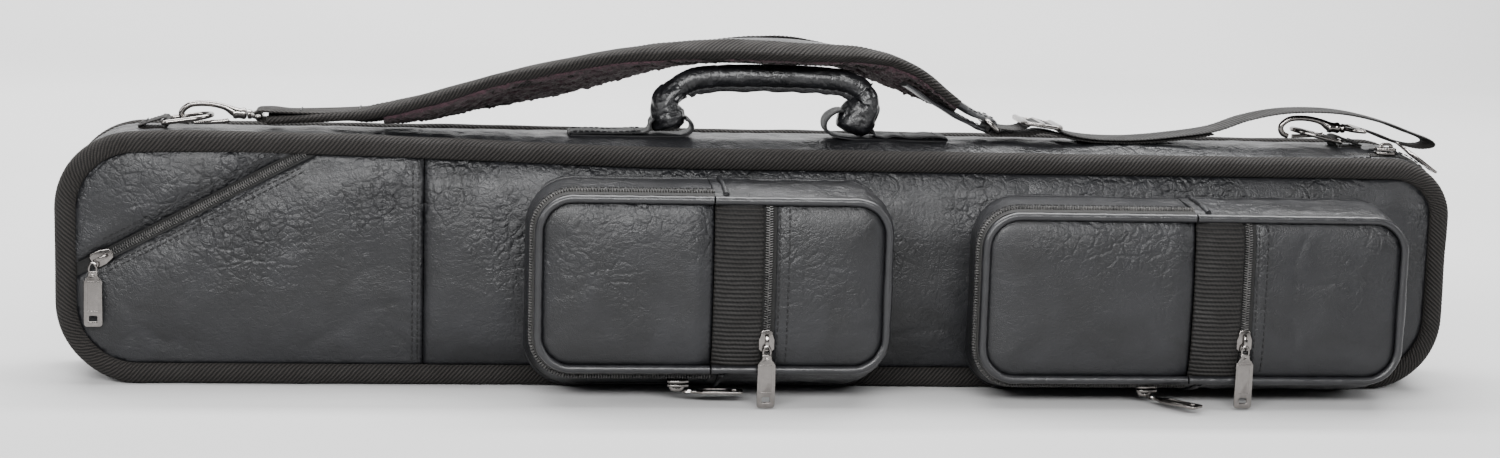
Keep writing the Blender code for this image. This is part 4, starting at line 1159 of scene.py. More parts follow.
ENDS = {
    "left": [(-0.0615, 0.1524, 0.45), (-0.0617, 0.1535, 0.92), (-0.0622, 0.1556, 1.08), (-0.0632, 0.1605, 1.14), (-0.0642, 0.1655, 1.10), (-0.0632, 0.1710, 1.00),
             (-0.0598, 0.1752, 0.88), (-0.0556, 0.1786, 0.80)],
    "right": [(0.0502, 0.1524, 0.45), (0.0506, 0.1535, 0.90), (0.0514, 0.1560, 1.16), (0.0530, 0.1602, 1.34), (0.0565, 0.1652, 1.26), (0.0602, 0.1700, 1.04),
              (0.0600, 0.1748, 0.90), (0.0562, 0.1786, 0.80)],
}
for side, rows in ENDS.items():
    rows = cat(rows, 14)
    s = -1 if side == "left" else 1
    P, D, U = xz_frames([(x, z) for x, z, k in rows])
    rings = []
    seed = 2.0 if side == "left" else 8.0
    for i in range(len(P)):
        u = i / (len(P) - 1)
        k = rows[i][2]
        ring = []
        for j in range(44):
            a = 2 * math.pi * j / 44
            ca, sa = math.cos(a), math.sin(a)                       # ca across Y, sa in the plane
            inner = max(0.0, -sa * -s)                              # side towards the middle of the grip
            fold = 0.0011 * (abs(math.sin(a * 4.5 + 2.0 * u + seed)) - 0.6) * (0.35 + 0.65 * sm(0.35, 0.9, u)) * (0.5 + 0.5 * inner)
            fold += 0.0013 * n3(ca * 1.5 + seed, sa * 1.5, u * 3.2) - 0.0012 * ridge(ca * 1.7, sa * 1.7 + seed, u * 4.2, 5)
            fold += 0.0005 * n3(ca * 4, sa * 4, u * 12 + seed)
            rx = 0.0106 * min(1.06, k) * (0.25 + 0.75 * sm(0.0, 0.34, u)) + fold * (0.3 + 0.7 * sm(0.0, 0.3, u))
            rz = 0.0092 * k + fold
            rz *= 1 - 0.22 * inner * math.exp(-((u - 0.80) / 0.16) ** 2)
            q = -s * sa * rz
            ring.append((P[i][0] + U[i][0] * q, AY + ca * rx, P[i][1] + U[i][1] * q))
        rings.append(ring)
    loft("grip_wrap_" + side, rings, M_HANDLE, "handle", "handle_end_" + side, angle=75)

# sewn tabs: a doubled leather strip that lies on the gusset, runs under the wrap and curls up round it
left_low = cat([(-0.1225, 0.1494), (-0.1100, 0.1494), (-0.0900, 0.1495), (-0.0740, 0.1497), (-0.0620, 0.1498), (-0.0540, 0.1502), (-0.0492, 0.1524),
                (-0.0484, 0.1562), (-0.0506, 0.1594), (-0.0526, 0.1604)], 8)
left_top = cat([(-0.1222, 0.1510), (-0.1100, 0.1514), (-0.0960, 0.1511), (-0.0840, 0.1519), (-0.0765, 0.1521), (-0.0741, 0.1546), (-0.0736, 0.1580), (-0.0722, 0.1602)], 8)
right_low = cat([(0.1085, 0.1494), (0.0950, 0.1494), (0.0780, 0.1495), (0.0620, 0.1496), (0.0500, 0.1500), (0.0405, 0.1512), (0.0350, 0.1542), (0.0336, 0.1590),
                 (0.0358, 0.1634), (0.0400, 0.1660), (0.0445, 0.1668)], 8)
right_top = cat([(0.1082, 0.1512), (0.0990, 0.1520), (0.0870, 0.1514), (0.0760, 0.1519), (0.0690, 0.1512), (0.0645, 0.1528), (0.0628, 0.1556)], 8)
for tag, low, top, fold in (("left", left_low, left_top, (-0.1232, 0.1502)), ("right", right_low, right_top, (0.1094, 0.1503))):
    tabs = [strip("tab_under_" + tag, low, 0.0235, 0.0019, M_TAB, None, "handle_tab_" + tag, edge=0.00015, wave=0.0004, seed=4.0)]
    tabs.append(strip("tab_over_" + tag, top, 0.0232, 0.0015, M_TAB, None, edge=0.00015, wave=0.0007, seed=9.0))
    for ob in tabs:
        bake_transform(ob)
    e = -1 if tag == "left" else 1
    strip("tab_fold_" + tag, [(fold[0] - e * 0.0014 + e * 0.0016 * math.cos(a), fold[1] + 0.0010 * math.sin(a)) for a in [math.pi / 2 - math.pi * i / 10 for i in range(11)]],
          0.0232, 0.0013, M_TAB, "case")
    zs = []
    half = [q for q in top if abs(q[0]) > 0.078]
    for line in edge_lines(half, 0.0232, 0.0007):
        zs += stitch_items(line, (0, 0, 1), 0.0024, 0.0011)
    for xx in (0.0830, 0.1030) if tag == "right" else (-0.0830, -0.1160):
        zz = float(np.interp(abs(xx), sorted(abs(q[0]) for q in half), [q[1] for q in sorted(half, key=lambda q: abs(q[0]))]))
        zs += stitch_items([(xx, AY - 0.0105 + 0.021 * i / 20, zz + 0.0007) for i in range(21)], (0, 0, 1), 0.0024, 0.0011)
    bars("tab_stitches_" + tag, zs, M_THREAD, "case")


# ------------------------------------------------------------------ padded shoulder strap
PAD = [(-0.304, 0.0055, 0.026, 0.0040, 0.0), (-0.282, 0.0070, 0.027, 0.0045, 0.02), (-0.258, 0.0085, 0.030, 0.0060, 0.10), (-0.240, 0.0100, 0.044, 0.0080, 0.25),
       (-0.205, 0.0165, 0.054, 0.0090, 0.60), (-0.165, 0.0265, 0.056, 0.0092, 0.95), (-0.130, 0.0345, 0.056, 0.0098, 1.00), (-0.095, 0.0428, 0.056, 0.0106, 0.75),
       (-0.060, 0.0492, 0.056, 0.0116, 0.35), (-0.027, 0.0522, 0.056, 0.0122, 0.12), (0.0, 0.0526, 0.056, 0.0126, -0.02), (0.022, 0.0518, 0.056, 0.0122, 0.02),
       (0.048, 0.0494, 0.056, 0.0108, 0.35), (0.070, 0.0446, 0.056, 0.0094, 0.72), (0.091, 0.0358, 0.053, 0.0076, 0.75), (0.106, 0.0262, 0.046, 0.0062, 0.55), (0.117, 0.0196, 0.036, 0.0050, 0.35)]
PAD = cat(PAD, 14)


def pad_frames():
    out = []
    C = np.array([[x, AY + h * math.sin(LEAN * k), HZ - 0.008 + h * math.cos(LEAN * k)] for x, h, w, t, k in PAD])
    T = np.gradient(C, axis=0)
    T /= np.linalg.norm(T, axis=1)[:, None]
    for i, (x, h, w, t, k) in enumerate(PAD):
        a = LEAN * k
        wd = Vector((0, math.cos(a), -math.sin(a)))
        tv = Vector(T[i])
        wd = (wd - tv * wd.dot(tv)).normalized()
        nd = tv.cross(wd)
        if nd.z < 0:
            nd = -nd
        out.append((Vector(C[i]), wd, nd, w / 2, t))
    return out


PADF = pad_frames()
NP = len(PADF)


def pad_top(v, t, u, W):
    body = sm(0.10, 0.22, u) * (1 - 0.5 * sm(0.90, 1.0, u))
    return 0.0013 + (t - 0.0040) * (0.25 + 0.75 * body) * max(0.0, 1 - abs(v) ** 2.6) ** 0.8 * 0.80


def pad_bottom(v, t, u, W):
    body = sm(0.10, 0.22, u) * (1 - 0.5 * sm(0.90, 1.0, u))
    return -0.0013 - (t - 0.0030) * 0.42 * max(0.0, 1 - abs(v) ** 4) ** 0.7 * (0.2 + 0.8 * body)


def pad_point(i, v, h):
    C, wd, nd, W, t = PADF[i]
    return C + wd * (v * W) + nd * h


# the stuffed body of the pad: a closed sleeve that the cloth solver swells against its sewn edges
V, F = [], []
COLS = 14
for i in range(NP):
    u = i / (NP - 1)
    W, t = PADF[i][3], PADF[i][4]
    row = [(-1 + 2 * j / COLS, 1) for j in range(COLS + 1)] + [(1 - 2 * j / COLS, -1) for j in range(1, COLS)]
    for v, s in row:
        q = 0.97 * v
        h = pad_top(q, t, u, W) if s > 0 else pad_bottom(q, t, u, W)
        if abs(v) == 1:
            h = 0.0
        V.append(pad_point(i, q, h * 0.86))
M = 2 * COLS
for i in range(NP - 1):
    for j in range(M):
        k = (j + 1) % M
        F.append((i * M + j, i * M + k, (i + 1) * M + k, (i + 1) * M + j))
F.append(tuple(range(M)))
F.append(tuple((NP - 1) * M + j for j in reversed(range(M))))
pad = mesh_piece("strap_pad_sleeve", V, F, M_LEATHER2, None, True, None, 70)


def swell(ob, pins, pressure, cap, frames=20, shrink=0.0, bend=0.5):
    """Cloth swelling by air pressure; pinned points stay, the movement is capped and the result is kept in the mesh."""
    me = ob.data
    start = np.zeros(len(me.vertices) * 3)
    me.vertices.foreach_get("co", start)
    start = start.reshape(-1, 3)
    vg = ob.vertex_groups.new(name="sewn")
    for i, w in pins:
        vg.add([i], w, "REPLACE")
    m = ob.modifiers.new("swell", "CLOTH")
    s = m.settings
    s.quality = 5
    s.mass = 0.3
    s.use_pressure = True
    s.uniform_pressure_force = pressure
    s.effector_weights.gravity = 0.0
    s.tension_stiffness = s.compression_stiffness = 12
    s.shear_stiffness = 6
    s.bending_stiffness = bend
    s.shrink_min = shrink
    s.vertex_group_mass = "sewn"
    m.collision_settings.use_collision = False
    m.point_cache.frame_start, m.point_cache.frame_end = 1, frames
    scn = bpy.context.scene
    scn.frame_start, scn.frame_end = 1, frames
    for fr in range(1, frames + 1):
        scn.frame_set(fr)
    dg = bpy.context.evaluated_depsgraph_get()
    ev = ob.evaluated_get(dg)
    got = np.zeros(len(start) * 3)
    ev.data.vertices.foreach_get("co", got)
    got = got.reshape(-1, 3)
    ob.modifiers.remove(m)
    ob.vertex_groups.clear()
    d = got - start
    bad = ~np.isfinite(d).all(axis=1)
    d[bad] = 0
    L = np.linalg.norm(d, axis=1)
    k = np.where(L > cap, cap / np.maximum(L, 1e-9), 1.0)
    end = start + d * k[:, None]
    me.vertices.foreach_set("co", end.ravel())
    me.update()
    scn.frame_set(1)
    print("swell", ob.name, "moved up to", round(float(L.max()) * 1000, 2), "mm")
    return end


pins = []
for i in range(NP):
    for j in range(M):
        e = min(abs(j), abs(j - COLS), abs(j - M))
        if e == 0 or i < 30 or i > NP - 6:
            pins.append((i * M + j, 1.0))
        elif e == 1:
            pins.append((i * M + j, 0.6))
swell(pad, pins, 5.0, 0.0035)
sub = pad.modifiers.new("smooth", "SUBSURF")
sub.levels = sub.render_levels = 1
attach(pad, "strap")
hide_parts("strap_pad")

# fleece on the underside: a thick pile with an uneven surface
FN = 44
sub_rows = []
for i in range(NP - 1):
    for k in range(3):
        sub_rows.append((i, k / 3))
V, F = [], []
keep = [(i, f) for i, f in sub_rows if i >= 44]
for i, f in keep:
    A, B = PADF[i], PADF[min(i + 1, NP - 1)]
    C = A[0].lerp(B[0], f)
    wd = A[1].lerp(B[1], f).normalized()
    nd = A[2].lerp(B[2], f).normalized()
    W, t = A[3] + (B[3] - A[3]) * f, A[4] + (B[4] - A[4]) * f
    u = (i + f) / (NP - 1)
    for j in range(FN + 1):
        v = -0.90 + 1.80 * j / FN
        p = C + wd * (v * W) + nd * (pad_bottom(v, t, u, W) + 0.0006)
        hang = 0.0034 * math.exp(-((C.x + 0.215) / 0.036) ** 2) + 0.0018 * math.exp(-((C.x + 0.10) / 0.06) ** 2) + 0.0022 * math.exp(-((C.x - 0.078) / 0.018) ** 2)
        p = p - nd * hang * (1 - abs(v) ** 6)
        fluff = 0.0016 + 0.0011 * n3(p.x * 170, v * 9, 1.5) + 0.0010 * n3(p.x * 420, v * 22, 7.5) + 0.0008 * n3(p.x * 900, v * 46, 3.5)
        V.append(p - nd * max(0.0002, fluff) + wd * 0.0006 * n3(p.x * 500, v * 20, 9.0))
m = FN + 1
cnt = len(keep)
for i in range(cnt - 1):
    for j in range(FN):
        a = i * m + j
        F.append((a, a + 1, a + m + 1, a + m))
base = len(V)
for (i, f) in keep:
    A, B = PADF[i], PADF[min(i + 1, NP - 1)]
    C, wd = A[0].lerp(B[0], f), A[1].lerp(B[1], f).normalized()
    nd = A[2].lerp(B[2], f).normalized()
    W = A[3] + (B[3] - A[3]) * f
    V += [C - wd * (0.90 * W) + nd * 0.0002, C + wd * (0.90 * W) + nd * 0.0002]
for i in range(cnt - 1):
    a, b = base + 2 * i, base + 2 * i + 2
    F.append((a, a + 1, b + 1, b))
    F.append((i * m, (i + 1) * m, b, a))
    F.append((i * m + FN, a + 1, b + 1, (i + 1) * m + FN))
F.append(tuple([base] + [j for j in range(m)] + [base + 1]))
F.append(tuple([base + 2 * cnt - 2] + [(cnt - 1) * m + j for j in range(m)] + [base + 2 * cnt - 1]))
mesh_piece("strap_fleece", V, F, M_FLEECE, "strap", True, None, 180)

# tape folded over the two long edges
for s, tag in ((-1, "front"), (1, "back")):
    rings = []
    s_len = 0.0
    prev = None
    fine = []
    for i in range(NP - 1):
        for k in range(4):
            fine.append((i, k / 4))
    fine.append((NP - 1, 0.0))
    for i, f in fine:
        A, B = PADF[i], PADF[min(i + 1, NP - 1)]
        C = A[0].lerp(B[0], f)
        wd, nd = A[1].lerp(B[1], f).normalized(), A[2].lerp(B[2], f).normalized()
        W, t = A[3] + (B[3] - A[3]) * f, A[4] + (B[4] - A[4]) * f
        u = (i + f) / (NP - 1)
        if prev is not None:
            s_len += (C - prev).length
        prev = C
        lap = min(0.0115, W * 0.62)
        v1 = 1 - lap / W
        seq = []
        for q in range(9):
            v = v1 + (1 - v1) * q / 8
            seq.append((v, pad_top(v, t, u, W) + 0.0010 - (0.0006 if q == 0 else 0.0)))
        seq += [(1 + 0.0010 / W, 0.0011), (1 + 0.0015 / W, 0.0), (1 + 0.0010 / W, -0.0011)]
        for q in range(9):
            v = 1 - (1 - v1 * 0.99) * q / 8
            seq.append((v, pad_bottom(v, t, u, W) - 0.0010 + (0.0005 if q == 8 else 0.0) - 0.0012 * sm(0.12, 0.2, u) * (q > 5)))
        seq += [(v1 + 0.02, pad_bottom(v1, t, u, W) + 0.0004), (1 - 0.0006 / W, 0.0), (v1 + 0.02, pad_top(v1, t, u, W) - 0.0004)]
        ring = []
        for q, (v, h) in enumerate(seq):
            ph = 2 * math.pi * (s_len * 1.0 + q * 0.00115) / 0.0029
            a = 0.00017 * math.sin(ph) if q < 21 else 0.0
            wav = 0.0007 * n3(s_len * 20, q * 0.1, 3.0 + s) + 0.0004 * n3(s_len * 60, q * 0.2, 5.0 + s)
            ring.append(C + wd * (s * (v * W + (a if 7 < q < 13 else 0))) + nd * (h + (a if h > 0 else -a) + wav))
        rings.append(ring)
    loft("strap_tape_" + tag, rings, M_TWILL, "strap", angle=75)

# leather layer under the right end, folded round the ring, and the doubled fold at the left end
RX, RZ = 0.1372, 0.1590
right_up = cat([(0.100, HZ - 0.008 + 0.0318), (0.108, HZ - 0.008 + 0.0268), (0.115, HZ - 0.008 + 0.0226), (0.123, HZ - 0.008 + 0.0180), (0.131, HZ - 0.008 + 0.0142),
                (0.1370, 0.1628), (0.1402, 0.1604), (0.1400, 0.1574), (0.1368, 0.1556)], 8)
right_dn = cat([(0.081, HZ - 0.008 + 0.0345), (0.092, HZ - 0.008 + 0.0278), (0.104, HZ - 0.008 + 0.0208), (0.116, HZ - 0.008 + 0.0142), (0.127, HZ - 0.008 + 0.0086),
                (0.1345, 0.1556), (0.1368, 0.1552)], 8)
strip("strap_end_over", right_up, lambda u: 0.040 - 0.013 * sm(0.0, 0.45, u), lambda u: 0.0056 - 0.0030 * sm(0.1, 0.7, u), M_LEATHER2, "strap", yc=AY + 0.004, edge=0.0001, cup=-0.0004, wave=0.0008, seed=3.0)
strip("strap_end_under", right_dn, lambda u: 0.050 - 0.023 * sm(0.0, 0.6, u), 0.0026, M_LEATHER2, "strap", yc=AY + 0.004, edge=0.0001, cup=0.0003, wave=0.0007, seed=6.0)
zs = []
for path, wd_ in ((right_up[:44], 0.0255), (right_dn[10:44], 0.0250)):
    for line in edge_lines(path, wd_, 0.0016, yc=AY + 0.004):
        zs += stitch_items(line, (0, 0, 1), 0.0024, 0.0011)
bars("strap_end_stitches", zs, M_THREAD, "strap")

LX, LZ = -0.3075, 0.1580
left_hi = cat([(-0.236, 0.1632), (-0.252, 0.1618), (-0.270, 0.1606), (-0.288, 0.1604), (-0.300, 0.1610), (-0.3060, 0.1612), (-0.3100, 0.1600), (-0.3108, 0.1572),
               (-0.3082, 0.1552), (-0.3030, 0.1548)], 8)
left_lo = cat([(-0.236, 0.1592), (-0.252, 0.1580), (-0.270, 0.1570), (-0.288, 0.1560), (-0.300, 0.1550), (-0.3045, 0.1547)], 8)
left_mid = cat([(-0.236, 0.1612), (-0.252, 0.1600), (-0.270, 0.1589), (-0.286, 0.1583)], 8)
strip("strap_tail_over", left_hi, 0.0262, 0.0017, M_TWILL, "strap", edge=0.0002, wave=0.0006, seed=1.0)
strip("strap_tail_mid", left_mid, 0.0262, 0.0016, M_LEATHER2, "strap", edge=0.0002, wave=0.0005, seed=2.0)
strip("strap_tail_under", left_lo, 0.0262, 0.0017, M_TWILL, "strap", edge=0.0002, wave=0.0005, seed=4.0)
zs = []
for xx in (-0.2840, -0.2490):
    zz = float(np.interp(-xx, [-q[0] for q in left_hi[:40]], [q[1] for q in left_hi[:40]]))
    zs += stitch_items([(xx, AY - 0.011 + 0.022 * i / 20, zz + 0.0010) for i in range(21)], (0, 0, 1), 0.0024, 0.0011)
for line in edge_lines(left_hi[4:34], 0.0262, 0.0010):
    zs += stitch_items(line, (0, 0, 1), 0.0024, 0.0011)
bars("strap_tail_stitches", zs, M_THREAD, "strap")


# ------------------------------------------------------------------ webbing, tri-glide and rings
def woven(name, pts, width, thick, body, replaces=None, yc=AY, pitch=0.0021, mat=None):
    """Webbing: a ribbed weave across it and rounded selvedges."""
    R, _, t = resample([tuple(p) for p in pts], pitch / 6, False)
    P, D, U = xz_frames(R)
    rings = []
    cols = 22
    for i in range(len(P)):
        top, bot = [], []
        rib = math.cos(2 * math.pi * t[i] / pitch)
        for j in range(cols + 1):
            v = -1 + 2 * j / cols
            wv = math.cos(2 * math.pi * (v * 5.5) + (math.pi if int(t[i] / pitch) % 2 else 0))
            h = (thick / 2 + 0.00013 * rib + 0.00007 * wv) * (1 - 0.7 * abs(v) ** 12)
            top.append((P[i][0] + U[i][0] * h, yc + v * width / 2, P[i][1] + U[i][1] * h))
            bot.append((P[i][0] - U[i][0] * h, yc + v * width / 2, P[i][1] - U[i][1] * h))
        rings.append(top + bot[::-1])
    return loft(name, rings, mat or M_WEB, body, replaces)


B0 = HZ - 0.008
WEB = [(0.1375, 0.0085), (0.1440, 0.0078), (0.1500, 0.0072), (0.1560, 0.0078), (0.1620, 0.0106), (0.1680, 0.0117), (0.1740, 0.0100), (0.1800, 0.0070), (0.1880, 0.0044), (0.2000, 0.0026),
       (0.2140, 0.0020), (0.2300, 0.0024), (0.2520, 0.0046), (0.2790, 0.0088), (0.3000, 0.0160), (0.3220, 0.0206), (0.3450, 0.0218), (0.3660, 0.0204), (0.3880, 0.0158),
       (0.4060, 0.0096), (0.4175, 0.0056), (0.4215, 0.0026), (0.4185, 0.0006), (0.4100, 0.0004), (0.3970, 0.0034), (0.3850, 0.0078), (0.3765, 0.0104)]
woven("strap_web", [(x, B0 + h) for x, h in cat(WEB, 10)], 0.0268, 0.0015, "strap", "strap_webbing")
# the free end, turned back under the tri-glide, and the loop round the ring
woven("strap_web_tail", [(x, B0 + h) for x, h in cat([(0.1500, 0.0040), (0.1600, 0.0042), (0.1680, 0.0058), (0.1760, 0.0052), (0.1880, 0.0024), (0.2040, 0.0006), (0.2300, 0.0006), (0.2560, 0.0030),
                                                     (0.2780, 0.0066)], 8)], 0.0262, 0.0013, "strap")
woven("strap_web_loop", [(x, z) for x, z in cat([(0.1500, 0.1570), (0.1440, 0.1577), (0.1385, 0.1588), (0.1350, 0.1586), (0.1344, 0.1562), (0.1370, 0.1544), (0.1440, 0.1540), (0.1510, 0.1540)], 8)],
      0.0264, 0.0013, "strap")


def wire(name, pts, radius, body, replaces=None, closed=False, mat=None, sides=14, per=8, up=(0, 1, 0)):
    rows = [tuple(p) for p in pts]
    if closed:
        n = len(rows)
        out = []
        for i in range(n):
            p0, p1, p2, p3 = rows[i - 1], rows[i], rows[(i + 1) % n], rows[(i + 2) % n]
            for k in range(per):
                t = k / per
                out.append(tuple(0.5 * (2 * b + (c - a) * t + (2 * a - 5 * b + 4 * c - d) * t * t + (3 * b - a - 3 * c + d) * t ** 3)
                                 for a, b, c, d in zip(p0, p1, p2, p3)))
        rows = out
    else:
        rows = cat(rows, per)
    return tube3(name, rows, radius, mat or M_METAL, body, sides, None, replaces, closed, up)


def box_ring(x, y, z, hx, hy, tilt, r, corner=0.003):
    """Rectangular wire ring: long side along Y, short side along X, tilted about Y."""
    pts = []
    for cx, cy, a0 in ((hx - corner, hy - corner, 0), (-hx + corner, hy - corner, 90), (-hx + corner, -hy + corner, 180), (hx - corner, -hy + corner, 270)):
        for i in range(5):
            a = rad(a0 + 90 * i / 4)
            px, py = cx + corner * math.cos(a), cy + corner * math.sin(a)
            pts.append((x + px * math.cos(tilt), y + py, z + px * math.sin(tilt)))
    return pts


rg = box_ring(RX + 0.0002, AY + 0.002, 0.1592, 0.0050, 0.0160, rad(-42), 0.0016)
tube3("strap_ring", rg, 0.0016, M_METAL, "strap", 14, closed=True, up=(0.1, 0.2, 1))

# tri-glide: flat frame with three round-edged bars
V, F = curve_solid([rrect(-0.0125, 0.0125, -0.0165, 0.0165, 0.0040, 6), rrect(-0.0095, -0.0024, -0.0145, 0.0145, 0.0018, 4), rrect(0.0024, 0.0095, -0.0145, 0.0145, 0.0018, 4)],
                   0.0004, 0.0008)
Mg = Matrix.Translation((0.168, AY, 0.1606)) @ Matrix.Rotation(rad(8), 4, "Y")
gv = [Mg @ Vector(v) for v in V]
mesh_piece("glide_frame", gv, F, M_METAL, "tri_glide", True, "tri_glide", 40)
for k, dx in enumerate((-0.0113, 0.0, 0.0113)):
    a = Mg @ Vector((dx, -0.0186, 0.0004))
    b = Mg @ Vector((dx, 0.0186, 0.0004))
    tube3("glide_bar_%d" % k, [a.lerp(b, i / 16) for i in range(17)], lambda u: 0.0018 * min(1.0, (0.25 + 8 * min(u, 1 - u))) ** 0.5, M_METAL, "tri_glide", 14, up=(0, 0, 1))


# ------------------------------------------------------------------ hooks, gates and D-rings
REL = [(0.000, 0.0), (0.006, 0.0010), (0.012, 0.0040), (0.020, 0.0058), (0.028, 0.0060), (0.033, 0.0050), (0.0370, 0.0020), (0.0378, -0.0010), (0.0362, -0.0040), (0.0330, -0.0054)]
RADII = [1.7, 1.7, 1.1, 1, 1, 1, 1, 1, 1, 0.9]
for tag, xs, zm in (("left", -0.3170, 0.1578), ("right", 0.3625, 0.1605)):
    body = "hook_" + tag
    rr = cat([(k,) for k in RADII], 10)
    wire("hook_wire_" + tag, [(xs - u, AY, zm + v) for u, v in REL], lambda u: 0.0018 * rr[min(len(rr) - 1, int(u * (len(rr) - 1) + 0.5))][0], body, "hook_" + tag, per=10)
    wire("gate_wire_" + tag, [(xs - u, AY, zm + v) for u, v in ((0.0100, -0.0036), (0.0115, -0.0042), (0.020, -0.0050), (0.0305, -0.0054))], lambda u: 0.0012 + 0.0002 * (1 - u), "gate_" + tag, "gate_" + tag)
    # collar and ball of the swivel
    prof = [(0.0078, 0.0018), (0.0074, 0.0030), (0.0060, 0.0034), (0.0046, 0.0030), (0.0040, 0.0022), (0.0034, 0.0022), (0.0028, 0.0032), (0.0012, 0.0036), (0.0000, 0.0032), (-0.0006, 0.0020)]
    rings = [[(xs - u, AY + q * math.cos(2 * math.pi * k / 18), zm + 0.0004 + q * math.sin(2 * math.pi * k / 18)) for k in range(18)] for u, q in prof]
    loft("hook_collar_" + tag, rings, M_METAL, body, angle=35)
    prof = [(-0.0008, 0.0014), (-0.0010, 0.0026), (-0.0020, 0.0030), (-0.0034, 0.0028), (-0.0040, 0.0018)]
    rings = [[(xs - u, AY + q * math.cos(2 * math.pi * k / 18), zm + q * math.sin(2 * math.pi * k / 18)) for k in range(18)] for u, q in prof]
    loft("swivel_head_" + tag, rings, M_METAL, "strap", angle=35)
    xb = xs + (0.0095 if tag == "left" else 0.0125)
    zb = LZ if tag == "left" else 0.1603
    ring = [(xs + 0.0030, AY, zm), (xs + 0.0038, AY - 0.0045, zm), (xs + 0.0058, AY - 0.0115, zm), (xb - 0.0016, AY - 0.0148, zb), (xb, AY - 0.0130, zb), (xb, AY - 0.006, zb), (xb, AY, zb),
            (xb, AY + 0.006, zb), (xb, AY + 0.0130, zb), (xb - 0.0016, AY + 0.0148, zb), (xs + 0.0058, AY + 0.0115, zm), (xs + 0.0038, AY + 0.0045, zm)]
    wire("swivel_eye_" + tag, ring, 0.0014, "strap", None, True, per=6, up=(0.1, 0.2, 1))

for tag, bx, bz, ax_, az_ in (("left", -0.3645, 0.1532, -0.3370, 0.1572), ("right", 0.3600, 0.1532, 0.3325, 0.1595)):
    reach = math.hypot(ax_ - bx, az_ - bz)
    ex, ez = (ax_ - bx) / reach, (az_ - bz) / reach
    hw = 0.0125
    pts = []
    for i in range(25):
        a = rad(-90 + 180 * i / 24)
        uu, vv = reach - hw + hw * math.cos(a), hw * math.sin(a)
        pts.append((bx + uu * ex, AY + vv, bz + uu * ez))
    for i in range(1, 7):
        q = (reach - hw) * (1 - i / 7)
        pts.append((bx + q * ex, AY + hw, bz + q * ez))
    for i in range(9):
        pts.append((bx, AY + hw - 2 * hw * i / 8, bz))
    for i in range(1, 7):
        q = (reach - hw) * i / 7
        pts.append((bx + q * ex, AY - hw, bz + q * ez))
    tube3("ring_wire_" + tag, pts, 0.0015, M_METAL, "dring_" + tag, 14, None, "dring_" + tag, True, up=(0.1, 0.05, 1))
    sd = 1 if tag == "left" else -1
    # the loop of webbing that holds the bar
    loop = [(bx - sd * 0.0150, 0.1490), (bx - sd * 0.0060, 0.1490), (bx, 0.1492)]
    loop += [(bx + sd * 0.0027 * math.sin(rad(a)), bz - 0.0027 * math.cos(rad(a))) for a in (30, 60, 90, 120, 150, 180, 205)]
    loop += [(bx - sd * 0.0030, bz + 0.0016), (bx - sd * 0.0075, bz + 0.0002), (bx - sd * 0.0150, 0.1506)]
    if sd > 0:
        loop = loop
    woven("ring_web_" + tag, cat(loop, 6), 0.0190, 0.0013, "case", "dring_tab_" + tag)
    zs = stitch_items([(bx - sd * 0.0105, AY - 0.0075 + 0.015 * i / 16, bz + 0.0004) for i in range(17)], (0, 0, 1), 0.0022, 0.001)
    zs += stitch_items([(bx - sd * 0.0132, AY - 0.0075 + 0.015 * i / 16, bz - 0.0008) for i in range(17)], (0, 0, 1), 0.0022, 0.001)
    bars("ring_web_stitches_" + tag, zs, M_THREAD, "case")


# ------------------------------------------------------------------ inside
for node in ("butt_divider", "shaft_divider"):
    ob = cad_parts[node]
    ob.data.materials.clear()
    ob.data.materials.append(M_LINING)


# ------------------------------------------------------------------ camera, light and floor
T = Vector((0.0, 0.003, 0.08))
yaw, elev, roll = rad(7.09588), rad(9.3), -0.03077
away = Vector((-math.sin(yaw) * math.cos(elev), -math.cos(yaw) * math.cos(elev), math.sin(elev)))
f = -away
r = f.cross(Vector((0, 0, 1))).normalized()
u = r.cross(f)
cr, sr = math.cos(roll), math.sin(roll)
r2, u2 = r * cr - u * sr, r * sr + u * cr
C = T + away * 1.58898
cam_data = bpy.data.cameras.new("camera")
cam_data.sensor_width = 36.0
cam_data.lens = 2608.318 / 1500 * 36.0
cam_data.shift_x = -21.51956 / 1500
cam_data.shift_y = 26.60943 / 1500
cam_data.clip_start = 0.05
cam = bpy.data.objects.new("camera", cam_data)
cam.matrix_world = Matrix(((r2.x, u2.x, -f.x, C.x), (r2.y, u2.y, -f.y, C.y), (r2.z, u2.z, -f.z, C.z), (0, 0, 0, 1)))
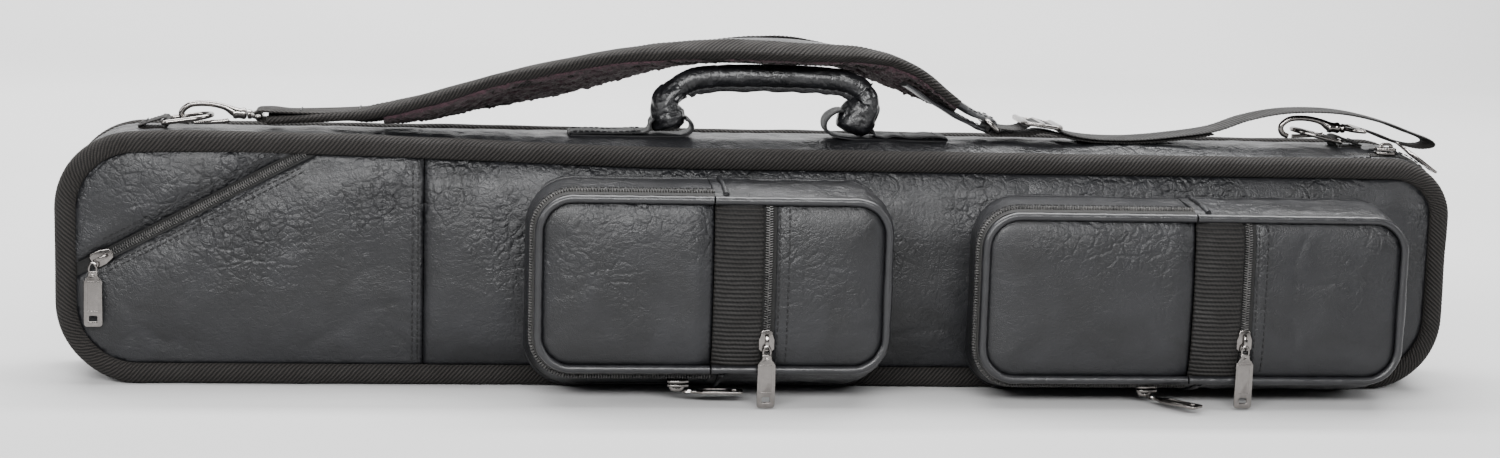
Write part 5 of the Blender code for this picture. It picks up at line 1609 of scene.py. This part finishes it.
bpy.context.scene.collection.objects.link(cam)
bpy.context.scene.camera = cam

world = bpy.data.worlds.new("studio")
world.use_nodes = True
bg = world.node_tree.nodes["Background"]
bg.inputs["Color"].default_value = (0.92, 0.94, 0.97, 1.0)
bg.inputs["Strength"].default_value = 0.16
bpy.context.scene.world = world


def area(name, at, look, sx, sy, watts, col=(1, 1, 1)):
    la = bpy.data.lights.new(name, "AREA")
    la.shape, la.size, la.size_y, la.energy, la.color = "RECTANGLE", sx, sy, watts, col
    ob = bpy.data.objects.new(name, la)
    ob.location = at
    ob.rotation_euler = (Vector(look) - Vector(at)).to_track_quat("-Z", "Y").to_euler()
    bpy.context.scene.collection.objects.link(ob)
    return ob


area("key", (-0.25, -1.55, 0.86), (-0.05, 0, 0.09), 1.7, 0.36, 62)
area("overhead", (0.05, 0.10, 1.45), (0.05, 0.0, 0.1), 2.2, 0.6, 46)
area("side_right", (1.7, -0.7, 0.75), (0.1, 0, 0.07), 0.6, 0.9, 13)
area("side_left", (-1.7, -0.5, 0.9), (-0.1, 0, 0.07), 0.6, 0.9, 13)
area("backdrop_wash", (0.0, 1.0, 2.2), (0.0, 2.6, 0.6), 3.4, 1.0, 330)

fm, fnt, fsh = new_mat("pale_floor")
fnt.links.new(ramp(fnt, noise_tex(fnt, coords(fnt), 1.5, 2, 0.5), [(0.3, (0.42, 0.42, 0.42)), (0.7, (0.45, 0.45, 0.45))]), fsh.inputs["Base Color"])
fsh.inputs["Roughness"].default_value = 0.9
fsh.inputs["Specular IOR Level"].default_value = 0.1
prof = [(-9.0, 0.0), (2.0, 0.0)] + [(2.0 + 0.8 * math.sin(rad(a)), 0.8 - 0.8 * math.cos(rad(a))) for a in range(9, 91, 9)] + [(2.8, 5.0)]
fv = [(x, y, z - 0.0004) for y, z in prof for x in (-9.0, 9.0)]
ff = [(2 * i, 2 * i + 1, 2 * i + 3, 2 * i + 2) for i in range(len(prof) - 1)]
floor = mesh_piece("floor", fv, ff, fm, None, True, None, 60)
